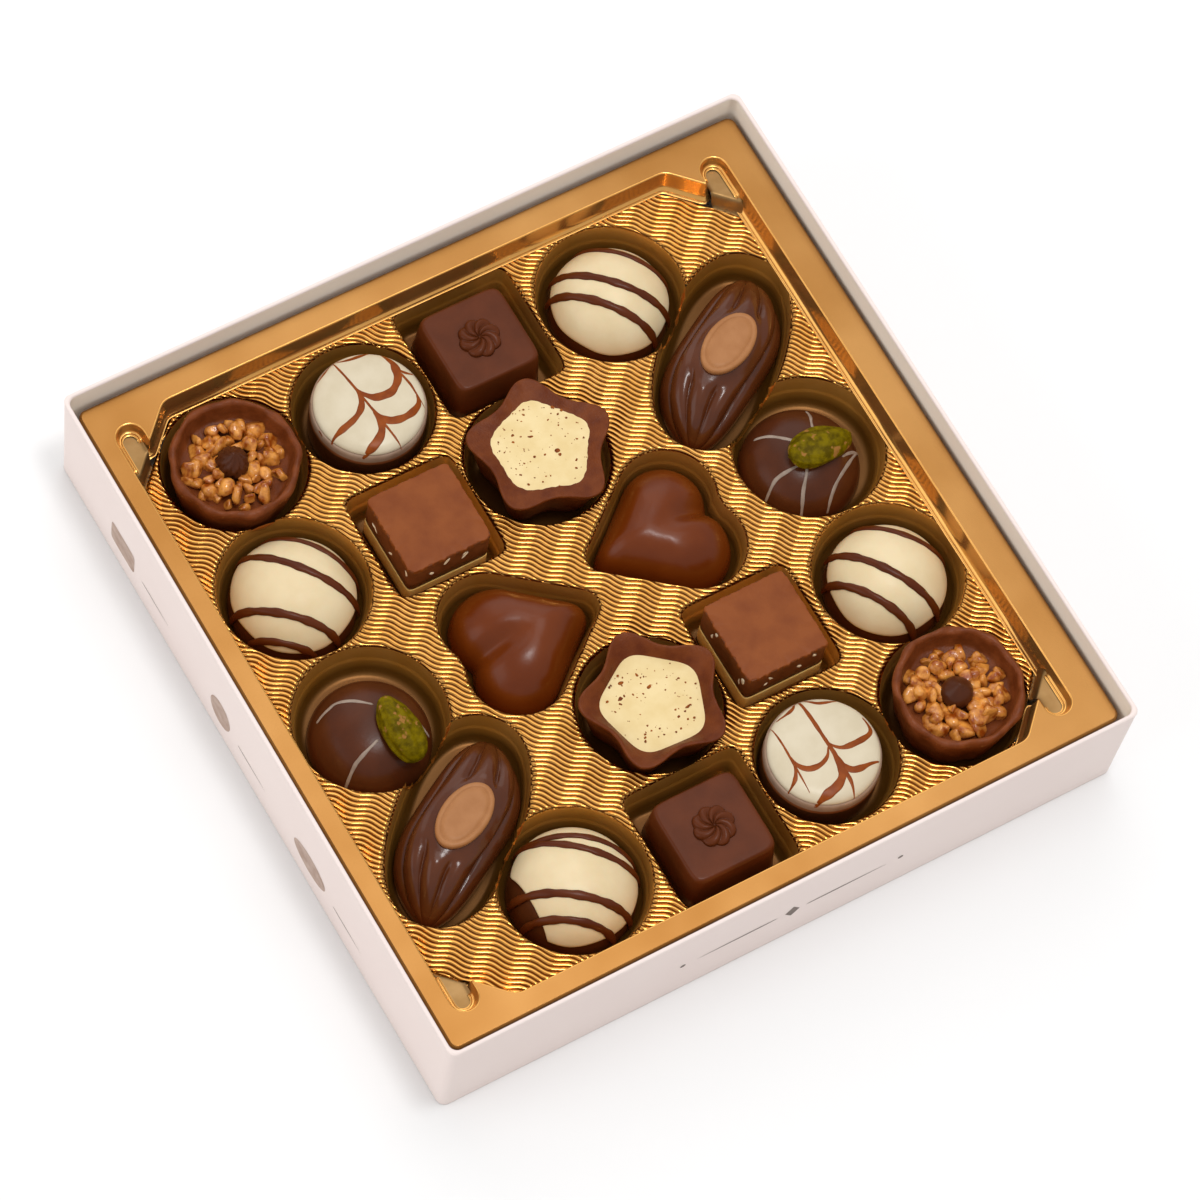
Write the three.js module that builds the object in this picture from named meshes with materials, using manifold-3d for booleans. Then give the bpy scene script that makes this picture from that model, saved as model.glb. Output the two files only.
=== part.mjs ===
// An open box of chocolate pralines: a square paperboard box, a gold moulded tray with twenty
// cells, and one praline in each cell. Millimetres, +Z up. The origin is the middle of the box's
// underside, +X runs along the front wall and +Y from the front wall to the back.
// The tray repeats itself when it is turned half round, so each kind of cell is stated once.
import * as THREE from "three";
import { mergeVertices, mergeGeometries } from "three/addons/utils/BufferGeometryUtils.js";
import Module from "manifold-3d";

const wasm = await Module();
wasm.setup();

// Driving dimensions of the box
const BOX_HALF = [75.2, 75.8]; // half of its length and width outside, at the rim
const BOX_HEIGHT = 27.4;
const WALL_LEAN = 0.5; // the tray pushes each wall out this far at the rim
const WALL = 0.9;
const FLOOR = 0.8;
const BOX_CORNER = 2.2;

// Driving dimensions of the tray
const GAP = 0.3; // between neighbours that touch
const SKIN = 0.6; // thickness of the moulded sheet
const FLANGE_Z = 22.4; // top of the smooth border
const FIELD_Z = 16.8; // top of the patterned field between the cells
const CELL_FLOOR_Z = 8.8;
const TRAY_HALF = [73.15, 73.45];
const TRAY_SHIFT = [-0.3, -0.1]; // the tray lies loose in the box
const TRAY_CORNER = 1.8;
const EDGE_SHIFT = [0.55, 0.35]; // the border's outside, from the tray's middle
const RECESS_HALF = [67.8, 68.6];
const RECESS_SHIFT = [-0.65, 0]; // its border is widest on the right
const RECESS_CHAMFER = 12;
const RECESS_DRAFT = 0.7; // how far the recess wall leans in on its way down
const SLOT_WIDTH = 5.6;
const SLOT_REACH = 67.4; // outer end of a finger slot, from the tray's middle
const SLOT_START = 55;
const SLOT_Z = 19.6;
const CELL_DRAFT = 1.5; // how far a cell's wall leans in on its way down
const REST_Z = CELL_FLOOR_Z + GAP; // where the pralines stand

// Facets round an outline
const CELL_SIDES = 18;
const PRALINE_SIDES = 20;

const COLOURS = {
  board: [0.93, 0.87, 0.84],
  gold: [0.83, 0.6, 0.27],
  milk: [0.36, 0.17, 0.09],
  dark: [0.17, 0.08, 0.055],
  white: [0.9, 0.84, 0.69],
  cream: [0.93, 0.87, 0.67],
  caramel: [0.7, 0.44, 0.27],
  brittle: [0.72, 0.43, 0.16],
  pistachio: [0.36, 0.42, 0.03],
  layer: [0.62, 0.47, 0.22],
};

const paints = {};
for (const [name, [r, g, b]] of Object.entries(COLOURS)) {
  const isGold = name === "gold";
  paints[name] = new THREE.MeshStandardMaterial({
    color: new THREE.Color(r, g, b),
    roughness: isGold ? 0.28 : 0.45,
    metalness: isGold ? 1 : 0,
  });
}

// Solids and meshes

function solidOf(geometry) {
  const bare = geometry.clone();
  bare.deleteAttribute("normal");
  bare.deleteAttribute("uv");
  const merged = mergeVertices(bare, 1e-4);
  return new wasm.Manifold(
    new wasm.Mesh({
      numProp: 3,
      vertProperties: new Float32Array(merged.attributes.position.array),
      triVerts: new Uint32Array(merged.index.array),
    }),
  );
}

function geometryOf(solid) {
  const mesh = solid.getMesh();
  const points = new Float32Array(mesh.numVert * 3);
  for (let i = 0; i < mesh.numVert; i++) {
    const start = i * mesh.numProp;
    points.set(mesh.vertProperties.subarray(start, start + 3), i * 3);
  }
  const geometry = new THREE.BufferGeometry();
  geometry.setAttribute("position", new THREE.BufferAttribute(points, 3));
  geometry.setIndex(new THREE.BufferAttribute(new Uint32Array(mesh.triVerts), 1));
  return geometry;
}

function joined(geometries) {
  return geometryOf(geometries.map(solidOf).reduce((all, next) => all.add(next)));
}

// A closed skin over a stack of rings, lowest first. Every ring has the same number of points,
// anticlockwise from above, and each end is closed by a fan round its middle.
function stack(rings) {
  const sides = rings[0].length;
  const points = rings.flat();
  const triangles = [];
  for (let k = 0; k + 1 < rings.length; k++) {
    for (let i = 0; i < sides; i++) {
      const a = k * sides + i;
      const b = k * sides + ((i + 1) % sides);
      triangles.push(a, b, b + sides, a, b + sides, a + sides);
    }
  }
  for (const [start, isTop] of [[0, false], [(rings.length - 1) * sides, true]]) {
    const middle = new THREE.Vector3();
    for (let i = 0; i < sides; i++) middle.addScaledVector(points[start + i], 1 / sides);
    points.push(middle);
    for (let i = 0; i < sides; i++) {
      const a = start + i;
      const b = start + ((i + 1) % sides);
      triangles.push(...(isTop ? [a, b, points.length - 1] : [b, a, points.length - 1]));
    }
  }
  const geometry = new THREE.BufferGeometry().setFromPoints(points);
  geometry.setIndex(triangles);
  return geometry;
}

// A ring of an outline, which gives a radius for each angle, scaled and then grown, at height z.
function ring(outline, z, { scale = 1, grow = 0, sides = PRALINE_SIDES } = {}) {
  return Array.from({ length: sides }, (_, i) => {
    const angle = (2 * Math.PI * i) / sides;
    const radius = outline(angle) * scale + grow;
    return new THREE.Vector3(radius * Math.cos(angle), radius * Math.sin(angle), z);
  });
}

// Outlines, as a radius for each angle round their own middle

const circle = (radius) => () => radius;

const superellipse = (halfLength, halfWidth, power) => (angle) =>
  (Math.abs(Math.cos(angle) / halfLength) ** power +
    Math.abs(Math.sin(angle) / halfWidth) ** power) ** (-1 / power);

// A star with rounded points: the cosine is sharpened so that the hollows are wider.
const star = (radius, depth, points = 5) => (angle) => {
  const wave = Math.cos(points * angle);
  return radius + depth * (wave + 0.18 * wave * wave - 0.09);
};

// How far a ray from the middle goes before it leaves a round of the given centre and radius.
function leavesRound(angle, x, y, radius) {
  const along = x * Math.cos(angle) + y * Math.sin(angle);
  const aside = x * Math.sin(angle) - y * Math.cos(angle);
  const under = radius * radius - aside * aside;
  return under > 0 ? along + Math.sqrt(under) : 0;
}

// A heart that points along -X: each half is the sweep of a round from the lobe to the tip.
// bridge is where a straight edge closes the notch, as the cell for a heart has it.
const HEART_STEPS = 24;
const heart = (length, width, bridge = 0) => (angle) => {
  const lobe = width * 0.315;
  const tip = width * 0.11;
  const facesNotch = Math.abs(Math.tan(angle)) * bridge < width / 2 - lobe && Math.cos(angle) > 0;
  let radius = facesNotch ? bridge / Math.cos(angle) : 0;
  for (const side of [-1, 1]) {
    for (let k = 0; k <= HEART_STEPS; k++) {
      const t = k / HEART_STEPS;
      const x = THREE.MathUtils.lerp(length / 2 - lobe, tip - length / 2, t);
      const y = side * THREE.MathUtils.lerp(width / 2 - lobe, 0, t);
      radius = Math.max(radius, leavesRound(angle, x, y, THREE.MathUtils.lerp(lobe, tip, t)));
    }
  }
  return radius;
};

// The ten kinds of cell. Each is there twice, the second time turned half round the middle.
// turn is in degrees, and room is the clearance that the cell leaves round its outline.
const CELLS = {
  nut_cup: { at: [-49.2, 53.0], outline: circle(14.2) },
  marbled: { at: [-21.3, 52.3], outline: circle(14.0) },
  dark_cube: { at: [5.8, 54.7], outline: superellipse(12.6, 12.8, 14), sides: 28 },
  dome_a: { at: [34.2, 52.2], outline: circle(14.9) },
  pod: { at: [47.5, 31.5], outline: superellipse(22.4, 11.9, 2.3), turn: 43, sides: 24 },
  star_cup: { at: [3.5, 27.6], outline: circle(14.2) },
  nougat: { at: [-22.9, 24.8], outline: superellipse(11.7, 11.7, 12), sides: 28 },
  pistachio: { at: [51.9, 5.8], outline: circle(15.1) },
  dome_b: { at: [-51.7, 24.7], outline: circle(14.9) },
  heart: { at: [16.4, 3.6], outline: heart(30.6, 30.9, 14.4), sides: 30 },
};

function cellSolid(cell, half, grow, floorZ, topZ) {
  const { sides = CELL_SIDES } = cell;
  const low = ring(cell.outline, floorZ, { grow: grow - CELL_DRAFT, sides });
  const high = ring(cell.outline, FIELD_Z, { grow, sides });
  const rings = [low, high];
  if (topZ > FIELD_Z) rings.push(ring(cell.outline, topZ, { grow, sides }));
  const geometry = stack(rings);
  geometry.rotateZ(THREE.MathUtils.degToRad((cell.turn ?? 0) + 180 * half));
  const sign = half ? -1 : 1;
  return solidOf(geometry.translate(sign * cell.at[0], sign * cell.at[1], 0));
}

// Box and tray

// A rectangle with rounded corners, as a ring.
function roundedBox([halfX, halfY], corner, z, steps = 3) {
  const points = [];
  for (const [quarter, [sx, sy]] of [[1, 1], [-1, 1], [-1, -1], [1, -1]].entries()) {
    for (let k = 0; k <= steps; k++) {
      const angle = (Math.PI / 2) * (quarter + k / steps);
      const x = sx * (halfX - corner) + corner * Math.cos(angle);
      points.push(new THREE.Vector3(x, sy * (halfY - corner) + corner * Math.sin(angle), z));
    }
  }
  return points;
}

const grown = (half, by) => half.map((value) => value + by);
const roundedSquare = (half, corner, z, steps) => roundedBox([half, half], corner, z, steps);

function boxBoard() {
  const fold = WALL * 0.35; // the board is folded over at the rim, so its edge is eased
  const outside = solidOf(stack([
    roundedBox(grown(BOX_HALF, -WALL_LEAN), BOX_CORNER, 0),
    roundedBox(BOX_HALF, BOX_CORNER, BOX_HEIGHT - fold),
    roundedBox(grown(BOX_HALF, -fold), BOX_CORNER, BOX_HEIGHT),
  ]));
  const inside = solidOf(stack([
    roundedBox(grown(BOX_HALF, -WALL_LEAN - WALL), BOX_CORNER - 0.6, FLOOR),
    roundedBox(grown(BOX_HALF, -WALL), BOX_CORNER - 0.6, BOX_HEIGHT + 1),
  ]));
  return geometryOf(outside.subtract(inside));
}

// The recess outline: a square with its corners cut off, as a ring.
function cutSquare([halfX, halfY], cut, z) {
  const [x, y] = [halfX - cut, halfY - cut];
  const corners = [
    [halfX, y], [x, halfY], [-x, halfY], [-halfX, y],
    [-halfX, -y], [-x, -halfY], [x, -halfY], [halfX, -y],
  ];
  return corners.map(([x, y]) => new THREE.Vector3(x, y, z));
}

function recessSolid(grow, floorZ, topZ) {
  const recess = solidOf(stack([
    cutSquare(grown(RECESS_HALF, grow - RECESS_DRAFT), RECESS_CHAMFER, floorZ),
    cutSquare(grown(RECESS_HALF, grow), RECESS_CHAMFER, topZ),
  ]));
  return recess.translate([...RECESS_SHIFT, 0]);
}

// A finger slot: a round-ended trough in the border, beside a cut corner of the recess.
function slotSolid(sx, sy, grow, floorZ, topZ) {
  const radius = SLOT_WIDTH / 2 + grow;
  const middle = RECESS_HALF[0] - SLOT_WIDTH / 2;
  const far = SLOT_REACH - SLOT_WIDTH / 2;
  const shape = new THREE.Shape();
  shape.moveTo(middle + radius, SLOT_START - grow);
  shape.lineTo(middle + radius, far);
  shape.absarc(middle, far, radius, 0, Math.PI, false);
  shape.lineTo(middle - radius, SLOT_START - grow);
  const geometry = new THREE.ExtrudeGeometry(shape, {
    depth: topZ - floorZ,
    bevelEnabled: false,
    curveSegments: 6,
  });
  geometry.translate(0, 0, floorZ);
  const mirrored = solidOf(geometry);
  return mirrored.scale([sx, sy, 1]).translate([...RECESS_SHIFT, 0]);
}

function moulding() {
  const base = FLOOR + GAP;
  const over = FLANGE_Z + 1;
  let sheet = solidOf(stack([
    roundedBox(TRAY_HALF, TRAY_CORNER, base),
    roundedBox(TRAY_HALF, TRAY_CORNER, FLANGE_Z),
  ]));
  sheet = sheet.subtract(solidOf(stack([
    roundedBox(grown(TRAY_HALF, -SKIN), TRAY_CORNER - SKIN, base - 1),
    roundedBox(grown(TRAY_HALF, -SKIN), TRAY_CORNER - SKIN, FLANGE_Z - SKIN),
  ])));
  sheet = sheet.translate([...EDGE_SHIFT, 0]);
  const outer = [recessSolid(SKIN, FIELD_Z - SKIN, FLANGE_Z)];
  const inner = [recessSolid(0, FIELD_Z, over)];
  for (const sx of [-1, 1]) {
    for (const sy of [-1, 1]) {
      outer.push(slotSolid(sx, sy, SKIN, SLOT_Z - SKIN, FLANGE_Z));
      inner.push(slotSolid(sx, sy, 0, SLOT_Z, over));
    }
  }
  for (const cell of Object.values(CELLS)) {
    for (const half of [0, 1]) {
      outer.push(cellSolid(cell, half, SKIN, CELL_FLOOR_Z - SKIN, FIELD_Z + 1 + SKIN));
      inner.push(cellSolid(cell, half, 0, CELL_FLOOR_Z, FIELD_Z + 1));
    }
  }
  const moulded = sheet.add(wasm.Manifold.union(outer)).subtract(wasm.Manifold.union(inner));
  return geometryOf(moulded.translate([...TRAY_SHIFT, 0]));
}

// Pralines. Each maker gives the pieces of one praline, standing on z = 0 round its own middle.

// Rings of a domed body: full at the foot, rounding over to the top by a superellipse.
const DOME_LEVELS = [0, 0.35, 0.62, 0.82, 0.94];
function domeRings(outline, height, power = 2.2) {
  return DOME_LEVELS.map((t) => {
    const scale = (1 - t ** power) ** (1 / power);
    return ring(outline, height * t, { scale });
  });
}

function domed(outline, height, power) {
  const rings = domeRings(outline, height, power);
  const geometry = stack(rings);
  const positions = geometry.attributes.position;
  positions.setZ(positions.count - 1, height); // the top fan's middle
  return geometry;
}

const DOME = { height: 12.2, power: 2.2 };
const STRIPE = { width: 1.5, proud: 0.5, steps: 6 };

// A poured stripe: a narrow upright slab through the dome, at the given distance from its middle.
// Its top follows the dome's curve a little way out, and it stops just short of the foot.
function stripe(radius, offset) {
  const { height, power } = DOME;
  const reach = Math.sqrt(radius * radius - offset * offset) * 0.93;
  const half = STRIPE.width / 2;
  const rings = [];
  for (let k = 0; k <= STRIPE.steps; k++) {
    const x = reach * Math.sin((Math.PI / 2) * ((2 * k) / STRIPE.steps - 1));
    const share = Math.hypot(x, offset) / radius;
    const top = height * (1 - share ** power) ** (1 / power) + STRIPE.proud;
    const corners = [[-half, 0.5], [half, 0.5], [half * 0.7, top], [-half * 0.7, top]];
    rings.push(corners.map(([y, z]) => new THREE.Vector3(x, offset + y, z)));
  }
  return stack(rings);
}

function stripedDome(radius, offsets) {
  const body = domed(circle(radius), DOME.height, DOME.power);
  const stripes = offsets.map((offset) => stripe(radius, offset));
  const geometry = joined([body, ...stripes]);
  return [{ suffix: "", geometry, paint: "white" }];
}

const CUBE = { top: 9.0, foot: 9.8, height: 10.4, easing: 0.8, rosette: 4.3, rosetteHeight: 1.2 };

// A piped rosette moulded in the top: lobes that twist as they rise to the middle.
function rosette() {
  const rings = [];
  const levels = [[1, -0.6], [1, 0.15], [0.8, 0.8], [0.45, 1]];
  for (const [scale, lift] of levels) {
    const twist = (1 - scale) * 1.1;
    const outline = (angle) => CUBE.rosette * (1 + 0.13 * Math.cos(8 * (angle - twist)));
    rings.push(ring(outline, CUBE.height + lift * CUBE.rosetteHeight, { scale, sides: 16 }));
  }
  return stack(rings);
}

function darkCube() {
  const { top, foot, height, easing } = CUBE;
  const body = stack([
    roundedSquare(foot, 1.4, 0, 2),
    roundedSquare(top + 0.05, 1.2, height - easing, 2),
    roundedSquare(top - easing, 0.8, height, 2),
  ]);
  return [{ suffix: "", geometry: joined([body, rosette()]), paint: "dark" }];
}

const NOUGAT = { half: 8.8, baseHeight: 4.8, height: 12.8 };

function nougatSquare() {
  const { half, baseHeight, height } = NOUGAT;
  const base = stack([
    roundedSquare(half + 0.2, 0.6, 0, 2),
    roundedSquare(half + 0.2, 0.6, baseHeight, 2),
  ]);
  const top = stack([
    roundedSquare(half, 0.6, baseHeight + GAP, 2),
    roundedSquare(half, 0.6, height - 0.4, 2),
    roundedSquare(half - 0.4, 0.5, height, 2),
  ]);
  return [
    { suffix: "_layer", geometry: base, paint: "layer" },
    { suffix: "_block", geometry: top, paint: "milk" },
  ];
}

const HEART = { length: 26.0, width: 26.8, height: 11.8 };

// A moulded heart: it rounds over to the top, and a crease runs in from the notch.
function heartPraline() {
  const outline = heart(HEART.length, HEART.width);
  const sides = 30;
  const rings = [0, 0.35, 0.62, 0.83, 0.96].map((t) =>
    ring(outline, HEART.height * t, { scale: (1 - t ** 2.3) ** (1 / 2.3) - (t ? 0 : 0.03), sides }));
  for (const section of rings) {
    for (const point of section) {
      const crease = Math.exp(-((point.y / 2.4) ** 2)) * THREE.MathUtils.smoothstep(point.x, -3, 9);
      point.z *= 1 - 0.2 * crease;
    }
  }
  return [{ suffix: "", geometry: stack(rings), paint: "milk" }];
}

const POD = { halfLength: 20.0, halfWidth: 8.8, height: 13.0, power: 2.2, bow: 1.3 };
const MEDALLION = { halfLength: 7.5, halfWidth: 4.5, height: 1.2, turn: -16 };

// A cocoa pod, with furrows that run from end to end, and a flat seat for the medallion. Its
// middle line bows one way in the first half and the other way in the second, as a bean's does.
function podPraline(medallionAt) {
  const outline = superellipse(POD.halfLength, POD.halfWidth, POD.power);
  const sides = 24;
  const rings = [0, 0.35, 0.62, 0.84].map((t) => {
    const scale = (1 - t ** 2.4) ** (1 / 2.4);
    const furrowed = (angle) => outline(angle) * (1 + 0.02 * t * Math.cos(12 * angle));
    return ring(furrowed, POD.height * t, { scale, sides });
  });
  for (const point of rings.flat()) {
    point.y -= POD.bow * Math.sin((Math.PI * point.x) / POD.halfLength);
  }
  const body = stack(rings);
  const seat = POD.height * 0.84;
  const medallion = stack([
    ring(superellipse(MEDALLION.halfLength, MEDALLION.halfWidth, 2), seat + GAP, { sides: 16 }),
    ring(superellipse(MEDALLION.halfLength, MEDALLION.halfWidth, 2), seat + GAP + MEDALLION.height * 0.6, { sides: 16 }),
    ring(superellipse(MEDALLION.halfLength, MEDALLION.halfWidth, 2), seat + GAP + MEDALLION.height,
      { sides: 16, grow: -0.5 }),
  ]);
  medallion.rotateZ(THREE.MathUtils.degToRad(MEDALLION.turn));
  medallion.translate(...medallionAt, 0);
  return [
    { suffix: "_body", geometry: body, paint: "dark" },
    { suffix: "_medallion", geometry: medallion, paint: "caramel" },
  ];
}

const STAR = { radius: 13.0, depth: 1.7, foot: 0.74, height: 12.2, wall: 3.1, floor: 2 };

// The hollow is a softly rounded pentagon, so the wall is thick at the points of the star.
function starCup(fill) {
  const sides = 30;
  const outer = star(STAR.radius, STAR.depth);
  const shell = solidOf(stack([
    ring(outer, 0, { scale: STAR.foot, sides }),
    ring(outer, STAR.height * 0.7, { scale: 0.9, sides }),
    ring(outer, STAR.height - 0.5, { sides }),
    ring(outer, STAR.height, { grow: -0.6, sides }),
  ]));
  const inner = star(STAR.radius - STAR.wall, STAR.depth * 0.35);
  const hollow = solidOf(stack([
    ring(inner, STAR.floor, { scale: STAR.foot, sides }),
    ring(inner, STAR.height - 0.6, { sides }),
    ring(inner, STAR.height + 1, { grow: 1, sides }),
  ]));
  const slope = (1 - STAR.foot) / (STAR.height - 0.6 - STAR.floor);
  const fillScale = 1 - slope * (STAR.height - 0.6 - fill);
  const cream = stack([
    ring(inner, STAR.floor + GAP, { scale: STAR.foot, grow: -GAP - 0.1, sides: 30 }),
    ring(inner, fill, { scale: fillScale, grow: -GAP - 0.1, sides: 30 }),
  ]);
  return [
    { suffix: "_shell", geometry: geometryOf(shell.subtract(hollow)), paint: "milk" },
    { suffix: "_cream", geometry: cream, paint: "cream" },
  ];
}

const NUT_CUP = { radius: 12.8, foot: 0.84, height: 12.4, wall: 1.6, floor: 2, bed: 8.3, drop: 2.9, dropHeight: 5.0 };
const NUTS = { count: 12, size: 1.9, inner: 4.7, outer: 7.4 };

// A small repeatable source of random numbers from 0 to 1.
function seeded(seed) {
  let state = seed;
  return () => {
    state = (state * 1664525 + 1013904223) % 4294967296;
    return state / 4294967296;
  };
}

// The nut filling: a low bed with chopped, caramelised pieces fused on top.
function nutBed(seed) {
  const random = seeded(seed);
  const radius = NUT_CUP.radius - NUT_CUP.wall;
  const slope = (1 - NUT_CUP.foot) / (NUT_CUP.height - NUT_CUP.floor);
  const scaleAt = (z) => 1 - slope * (NUT_CUP.height - z);
  const bed = stack([
    ring(circle(radius), NUT_CUP.floor + GAP, { scale: scaleAt(NUT_CUP.floor), grow: -GAP }),
    ring(circle(radius), NUT_CUP.bed, { scale: scaleAt(NUT_CUP.bed), grow: -GAP }),
  ]);
  const pieces = [bed];
  const turn = Math.PI * (3 - Math.sqrt(5));
  for (let k = 0; k < NUTS.count; k++) {
    const share = (k + 0.5) / NUTS.count;
    const distance = Math.sqrt(THREE.MathUtils.lerp(NUTS.inner ** 2, NUTS.outer ** 2, share));
    const piece = new THREE.IcosahedronGeometry(NUTS.size, 0);
    piece.scale(0.75 + 0.3 * random(), 0.6 + 0.3 * random(), 0.6 + 0.3 * random());
    piece.rotateX(random() * Math.PI);
    piece.rotateZ(random() * Math.PI);
    const lift = 0.35 + 0.5 * random();
    piece.translate(distance * Math.cos(k * turn), distance * Math.sin(k * turn), NUT_CUP.bed + lift);
    pieces.push(piece);
  }
  return joined(pieces);
}

// A chocolate drop with a drawn-up tip.
function drop() {
  const { drop: radius, dropHeight: height, bed } = NUT_CUP;
  const profile = [
    [0, 0], [0.8, 0], [1, 0.2], [0.93, 0.45], [0.62, 0.7], [0.25, 0.86], [0, 1],
  ].map(([r, z]) => new THREE.Vector2(r * radius, bed + GAP + z * height));
  return new THREE.LatheGeometry(profile, 12).rotateX(Math.PI / 2);
}

function nutCup(seed) {
  const wavy = (angle) => NUT_CUP.radius + 0.22 * Math.cos(9 * angle + seed) + 0.15 * Math.cos(4 * angle);
  const shell = solidOf(stack([
    ring(wavy, 0, { scale: NUT_CUP.foot }),
    ring(wavy, NUT_CUP.height - 1.0, {}),
    ring(wavy, NUT_CUP.height, { grow: -0.8 }),
  ]));
  const hollow = solidOf(stack([
    ring(circle(NUT_CUP.radius - NUT_CUP.wall), NUT_CUP.floor, { scale: NUT_CUP.foot }),
    ring(circle(NUT_CUP.radius - NUT_CUP.wall), NUT_CUP.height + 0.01, {}),
    ring(circle(NUT_CUP.radius - NUT_CUP.wall), NUT_CUP.height + 1, {}),
  ]));
  return [
    { suffix: "_shell", geometry: geometryOf(shell.subtract(hollow)), paint: "milk" },
    { suffix: "_nuts", geometry: nutBed(seed), paint: "brittle" },
    { suffix: "_drop", geometry: drop(), paint: "dark" },
  ];
}

const MARBLED = { foot: 11.3, shoulder: 11.2, height: 9.6, icing: 10.9, icingHeight: 1.7 };

function marbledRound() {
  const { foot, shoulder, height, icing, icingHeight } = MARBLED;
  const body = stack([
    ring(circle(foot), 0),
    ring(circle(foot), height * 0.35),
    ring(circle(shoulder), height),
  ]);
  const cap = stack([
    ring(circle(icing), height + GAP),
    ring(circle(icing), height + GAP + icingHeight * 0.35),
    ring(circle(icing - 0.9), height + GAP + icingHeight * 0.75),
    ring(circle(icing - 4), height + GAP + icingHeight),
  ]);
  return [
    { suffix: "_body", geometry: body, paint: "dark" },
    { suffix: "_icing", geometry: cap, paint: "white" },
  ];
}

const GREEN = { radius: 12.0, height: 8.8, nutLength: 7.0, nutWidth: 3.8, nutHeight: 2.6, power: 2.1 };

// The nut lies on the slope, so it is tipped outwards by the dome's slope under it.
function pistachioDome(nutAt, nutTurn) {
  const { radius, height, power } = GREEN;
  const body = domed(circle(radius), height, power);
  const nut = new THREE.SphereGeometry(1, 10, 6);
  nut.scale(GREEN.nutLength, GREEN.nutWidth, GREEN.nutHeight);
  nut.rotateZ(THREE.MathUtils.degToRad(nutTurn));
  const share = Math.hypot(...nutAt) / radius;
  const under = 1 - share ** power;
  const tip = Math.atan((height / radius) * share ** (power - 1) * under ** (1 / power - 1));
  const axis = new THREE.Vector3(-nutAt[1], nutAt[0], 0).normalize();
  nut.applyMatrix4(new THREE.Matrix4().makeRotationAxis(axis, tip));
  nut.translate(nutAt[0], nutAt[1], height * under ** (1 / power) + GREEN.nutHeight * 0.6);
  const seat = solidOf(domed(circle(radius + GAP), height + GAP, power));
  return [
    { suffix: "_body", geometry: body, paint: "dark" },
    { suffix: "_nut", geometry: geometryOf(solidOf(nut).subtract(seat)), paint: "pistachio" },
  ];
}

// Where each praline stands: the cell, which half of the tray, how far it has slid in its cell,
// its turn in degrees, and its pieces.
const PRALINES = [
  { name: "nut_cup_1", cell: "nut_cup", half: 0, slid: [-0.4, -0.7], turn: 0, make: () => nutCup(3) },
  { name: "nut_cup_2", cell: "nut_cup", half: 1, slid: [0.7, 0.1], turn: 40, make: () => nutCup(8) },
  { name: "marbled_1", cell: "marbled", half: 0, slid: [0.7, -0.8], turn: 0, make: marbledRound },
  { name: "marbled_2", cell: "marbled", half: 1, slid: [-1.0, 0.3], turn: 0, make: marbledRound },
  { name: "dark_cube_1", cell: "dark_cube", half: 0, slid: [-0.4, -0.5], turn: 0, make: darkCube },
  { name: "dark_cube_2", cell: "dark_cube", half: 1, slid: [-0.4, -1.0], turn: 0, make: darkCube },
  { name: "striped_dome_1", cell: "dome_a", half: 0, slid: [0.1, -0.1], turn: -45, make: () => stripedDome(12.4, [-4.7, 0.2, 7.8]) },
  { name: "striped_dome_2", cell: "dome_b", half: 0, slid: [0.1, -0.1], turn: -45, make: () => stripedDome(12.8, [-7.2, 2.4, 8.6]) },
  { name: "striped_dome_3", cell: "dome_b", half: 1, slid: [0.1, -0.1], turn: -45, make: () => stripedDome(12.4, [-7.2, -2.2, 7.6]) },
  { name: "striped_dome_4", cell: "dome_a", half: 1, slid: [0.1, -0.1], turn: -45, make: () => stripedDome(12.8, [-8.6, -4.7, 5.2]) },
  { name: "pod_1", cell: "pod", half: 0, slid: [0.2, -0.3], turn: 43, make: () => podPraline([-0.8, -1.1]) },
  { name: "pod_2", cell: "pod", half: 1, slid: [0.2, -0.3], turn: 43, make: () => podPraline([-0.4, -0.7]) },
  { name: "star_cup_1", cell: "star_cup", half: 0, slid: [0.7, 0.2], turn: 2, make: () => starCup(11.4) },
  { name: "star_cup_2", cell: "star_cup", half: 1, slid: [0.2, -0.7], turn: 15, make: () => starCup(10.4) },
  { name: "nougat_1", cell: "nougat", half: 0, slid: [-0.1, -0.8], turn: 0, make: nougatSquare },
  { name: "nougat_2", cell: "nougat", half: 1, slid: [0.1, -0.4], turn: 0, make: nougatSquare },
  { name: "heart_1", cell: "heart", half: 0, slid: [0.2, 0.2], turn: 0, make: heartPraline },
  { name: "heart_2", cell: "heart", half: 1, slid: [0, -0.2], turn: 180, make: heartPraline },
  { name: "pistachio_1", cell: "pistachio", half: 0, slid: [-1.4, -0.5], turn: 0, make: () => pistachioDome([2.5, -1.4], -3) },
  { name: "pistachio_2", cell: "pistachio", half: 1, slid: [-0.5, -1.3], turn: 0, make: () => pistachioDome([3.9, -3.8], 94) },
];

const root = new THREE.Group();
root.name = "praline_box";

function addMesh(parent, name, geometry, paint) {
  const mesh = new THREE.Mesh(geometry, paints[paint]);
  mesh.name = name;
  parent.add(mesh);
}

addMesh(root, "box", boxBoard(), "board");
addMesh(root, "tray", moulding(), "gold");

for (const { name, cell, half, slid, turn, make } of PRALINES) {
  const group = new THREE.Group();
  const sign = half ? -1 : 1;
  group.position.set(
    sign * CELLS[cell].at[0] + TRAY_SHIFT[0] + slid[0],
    sign * CELLS[cell].at[1] + TRAY_SHIFT[1] + slid[1],
    REST_Z,
  );
  group.rotation.z = THREE.MathUtils.degToRad(turn);
  for (const piece of make()) addMesh(group, name + piece.suffix, piece.geometry, piece.paint);
  root.add(group);
}

export default root;
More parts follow.
